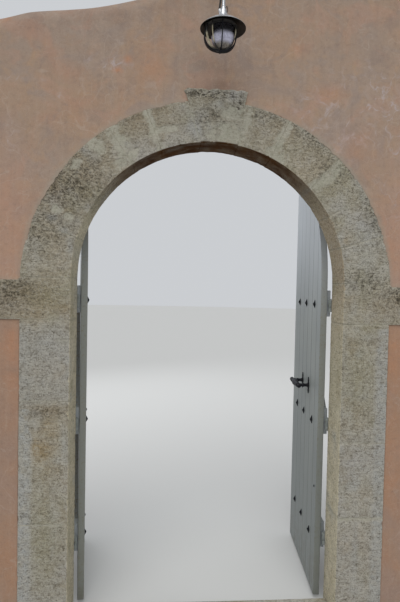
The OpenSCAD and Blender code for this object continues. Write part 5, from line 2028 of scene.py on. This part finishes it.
    # cage: a bent band under the glass, and five wires down beside it
    b = Build()
    mid = curve([(-0.0740, 0.0044), (-0.0790, -0.0140), (-0.0810, -0.0360),
                 (-0.0770, -0.0580), (-0.0660, -0.0770), (-0.0480, -0.0900),
                 (-0.0240, -0.0970), (0.0, -0.0980), (0.0220, -0.0940),
                 (0.0380, -0.0840), (0.0490, -0.0700), (0.0555, -0.0540),
                 (0.0580, -0.0360), (0.0585, -0.0140), (0.0580, 0.0044)], 4)
    rings = []
    for k, (x, z) in enumerate(mid):
        xa, za = mid[max(k - 1, 0)]
        xb, zb = mid[min(k + 1, len(mid) - 1)]
        tx, tz = xb - xa, zb - za
        m = math.hypot(tx, tz)
        nx, nz = -tz / m, tx / m
        ring = []
        for u, w in ((-0.0130, -0.0014), (-0.0120, -0.0025), (0.0120, -0.0025),
                     (0.0130, -0.0014), (0.0130, 0.0014), (0.0120, 0.0025),
                     (-0.0120, 0.0025), (-0.0130, 0.0014)):
            ring.append((at[0] + x + nx * w, at[1] + u, at[2] + z + nz * w))
        rings.append(ring)
    b.loft(rings, index=1)
    line = curve([(0.0670, 0.0044), (0.0670, -0.0340), (0.0540, -0.0730),
                  (0.0360, -0.0890), (0.0070, -0.0980)], 6)
    dark_wire_part = [1.0] * len(b.v)
    for turn, a_, to, r in ((90, 0.0, 0.0, 0.0027), (200, 0.030, 0.088, 0.0046),
                            (232, 0.016, 0.078, 0.0027), (270, 0.0, 0.0, 0.0027),
                            (335, 0.016, 0.050, 0.0027)):
        c, s_ = math.cos(math.radians(turn)), math.sin(math.radians(turn))
        b.tube([(cage[0] + q[0] * c, cage[1] + q[0] * s_, cage[2] + q[1])
                for q in line], r, 12, index=2 if to else 1)
        # near black above and below each cream stretch; the part inside the lamp's shade is painted
        # shade
        dark_wire_part += [float(max(ramp(RIM_Z - p[2], to - 0.006, to + 0.006),
                           1 - ramp(RIM_Z - p[2], a_ - 0.006, a_ + 0.006)))
                 for p in b.v[len(dark_wire_part):]]
    b.lathe([(0.0, -0.1045), (0.0060, -0.1042), (0.0084, -0.1028), (0.0090, -0.1010),
             (0.0090, -0.0935), (0.0078, -0.0922), (0.0, -0.0920)], cage, 32, index=1)
    dark_wire_part += [1.0] * (len(b.v) - len(dark_wire_part))
    o = b.object("lamp_cage", mats=[LAMP, IRON, CREAM], smooth=50.0,
                 masks={"dark_wire_part": dark_wire_part})
    finish_piece(o, "masonry", "lamp_metal", "lamp_cage", smooth=50.0)


# ---------------------------------------------------------------- calls
build_stones()
joint_mortar()
build_wall()
for side, word in ((-1, "left"), (1, "right")):
    board_piece(side, word)
    strap_piece(side, word)
    pintle_piece(side, word)
handle()
lantern()


# ---------------------------------------------------------------- stage
def stage():
    import bmesh
    bm = bmesh.new()
    bmesh.ops.create_circle(bm, cap_ends=True, radius=40.0, segments=96)
    me = bpy.data.meshes.new("floor")
    bm.to_mesh(me)
    bm.free()
    o = bpy.data.objects.new("floor", me)
    bpy.context.scene.collection.objects.link(o)
    m = bpy.data.materials.new("floor")
    m.use_nodes = True
    b = m.node_tree.nodes["Principled BSDF"]
    b.inputs["Base Color"].default_value = C(205, 205, 203)
    b.inputs["Roughness"].default_value = 0.9
    b.inputs["Specular IOR Level"].default_value = 0.1
    me.materials.append(m)

    w = bpy.data.worlds.new("world")
    bpy.context.scene.world = w
    w.use_nodes = True
    bg = w.node_tree.nodes["Background"]
    bg.inputs["Color"].default_value = C(226, 229, 233)
    bg.inputs["Strength"].default_value = 0.78


def area(name, at, to, size, power, colour):
    d = bpy.data.lights.new(name, "AREA")
    d.shape = "RECTANGLE"
    d.size, d.size_y = size
    d.energy = power
    d.color = colour
    o = bpy.data.objects.new(name, d)
    bpy.context.scene.collection.objects.link(o)
    o.location = at
    o.rotation_euler = (Vector(to) - Vector(at)).to_track_quat("-Z", "Y").to_euler()
    return o


def overhead(name, along, strength, spread, colour):
    """A wide soft light that falls in one direction."""
    d = bpy.data.lights.new(name, "SUN")
    d.energy = strength
    d.angle = math.radians(spread)
    d.color = colour
    o = bpy.data.objects.new(name, d)
    bpy.context.scene.collection.objects.link(o)
    o.location = (0.0, -4.0, 6.0)
    o.rotation_euler = Vector(along).to_track_quat("-Z", "Y").to_euler()
    return o


def camera():
    d = bpy.data.cameras.new("camera")
    d.lens = 28.08
    d.sensor_width = 36.0
    d.clip_start = 0.05
    d.clip_end = 200.0
    o = bpy.data.objects.new("camera", d)
    bpy.context.scene.collection.objects.link(o)
    o.location = (-0.207, -2.481, 1.777)
    yaw, pitch, roll = math.radians(3.794), math.radians(-1.725), math.radians(1.158)
    ahead = Vector((math.sin(yaw) * math.cos(pitch),
                    math.cos(yaw) * math.cos(pitch), math.sin(pitch)))
    q = ahead.to_track_quat("-Z", "Y")
    from mathutils import Quaternion
    q = Quaternion(ahead, -roll) @ q
    o.rotation_mode = "QUATERNION"
    o.rotation_quaternion = q
    bpy.context.scene.camera = o


stage()
overhead("key", (0.22, 1.0, -1.20), 1.30, 50.0, (1.0, 0.985, 0.96))
area("court", (-2.2, 5.0, 4.4), (0.4, 0.4, 1.5), (7.0, 5.0), 100.0, (0.93, 0.96, 1.0))
camera()
bpy.context.scene.view_settings.view_transform = "Standard"
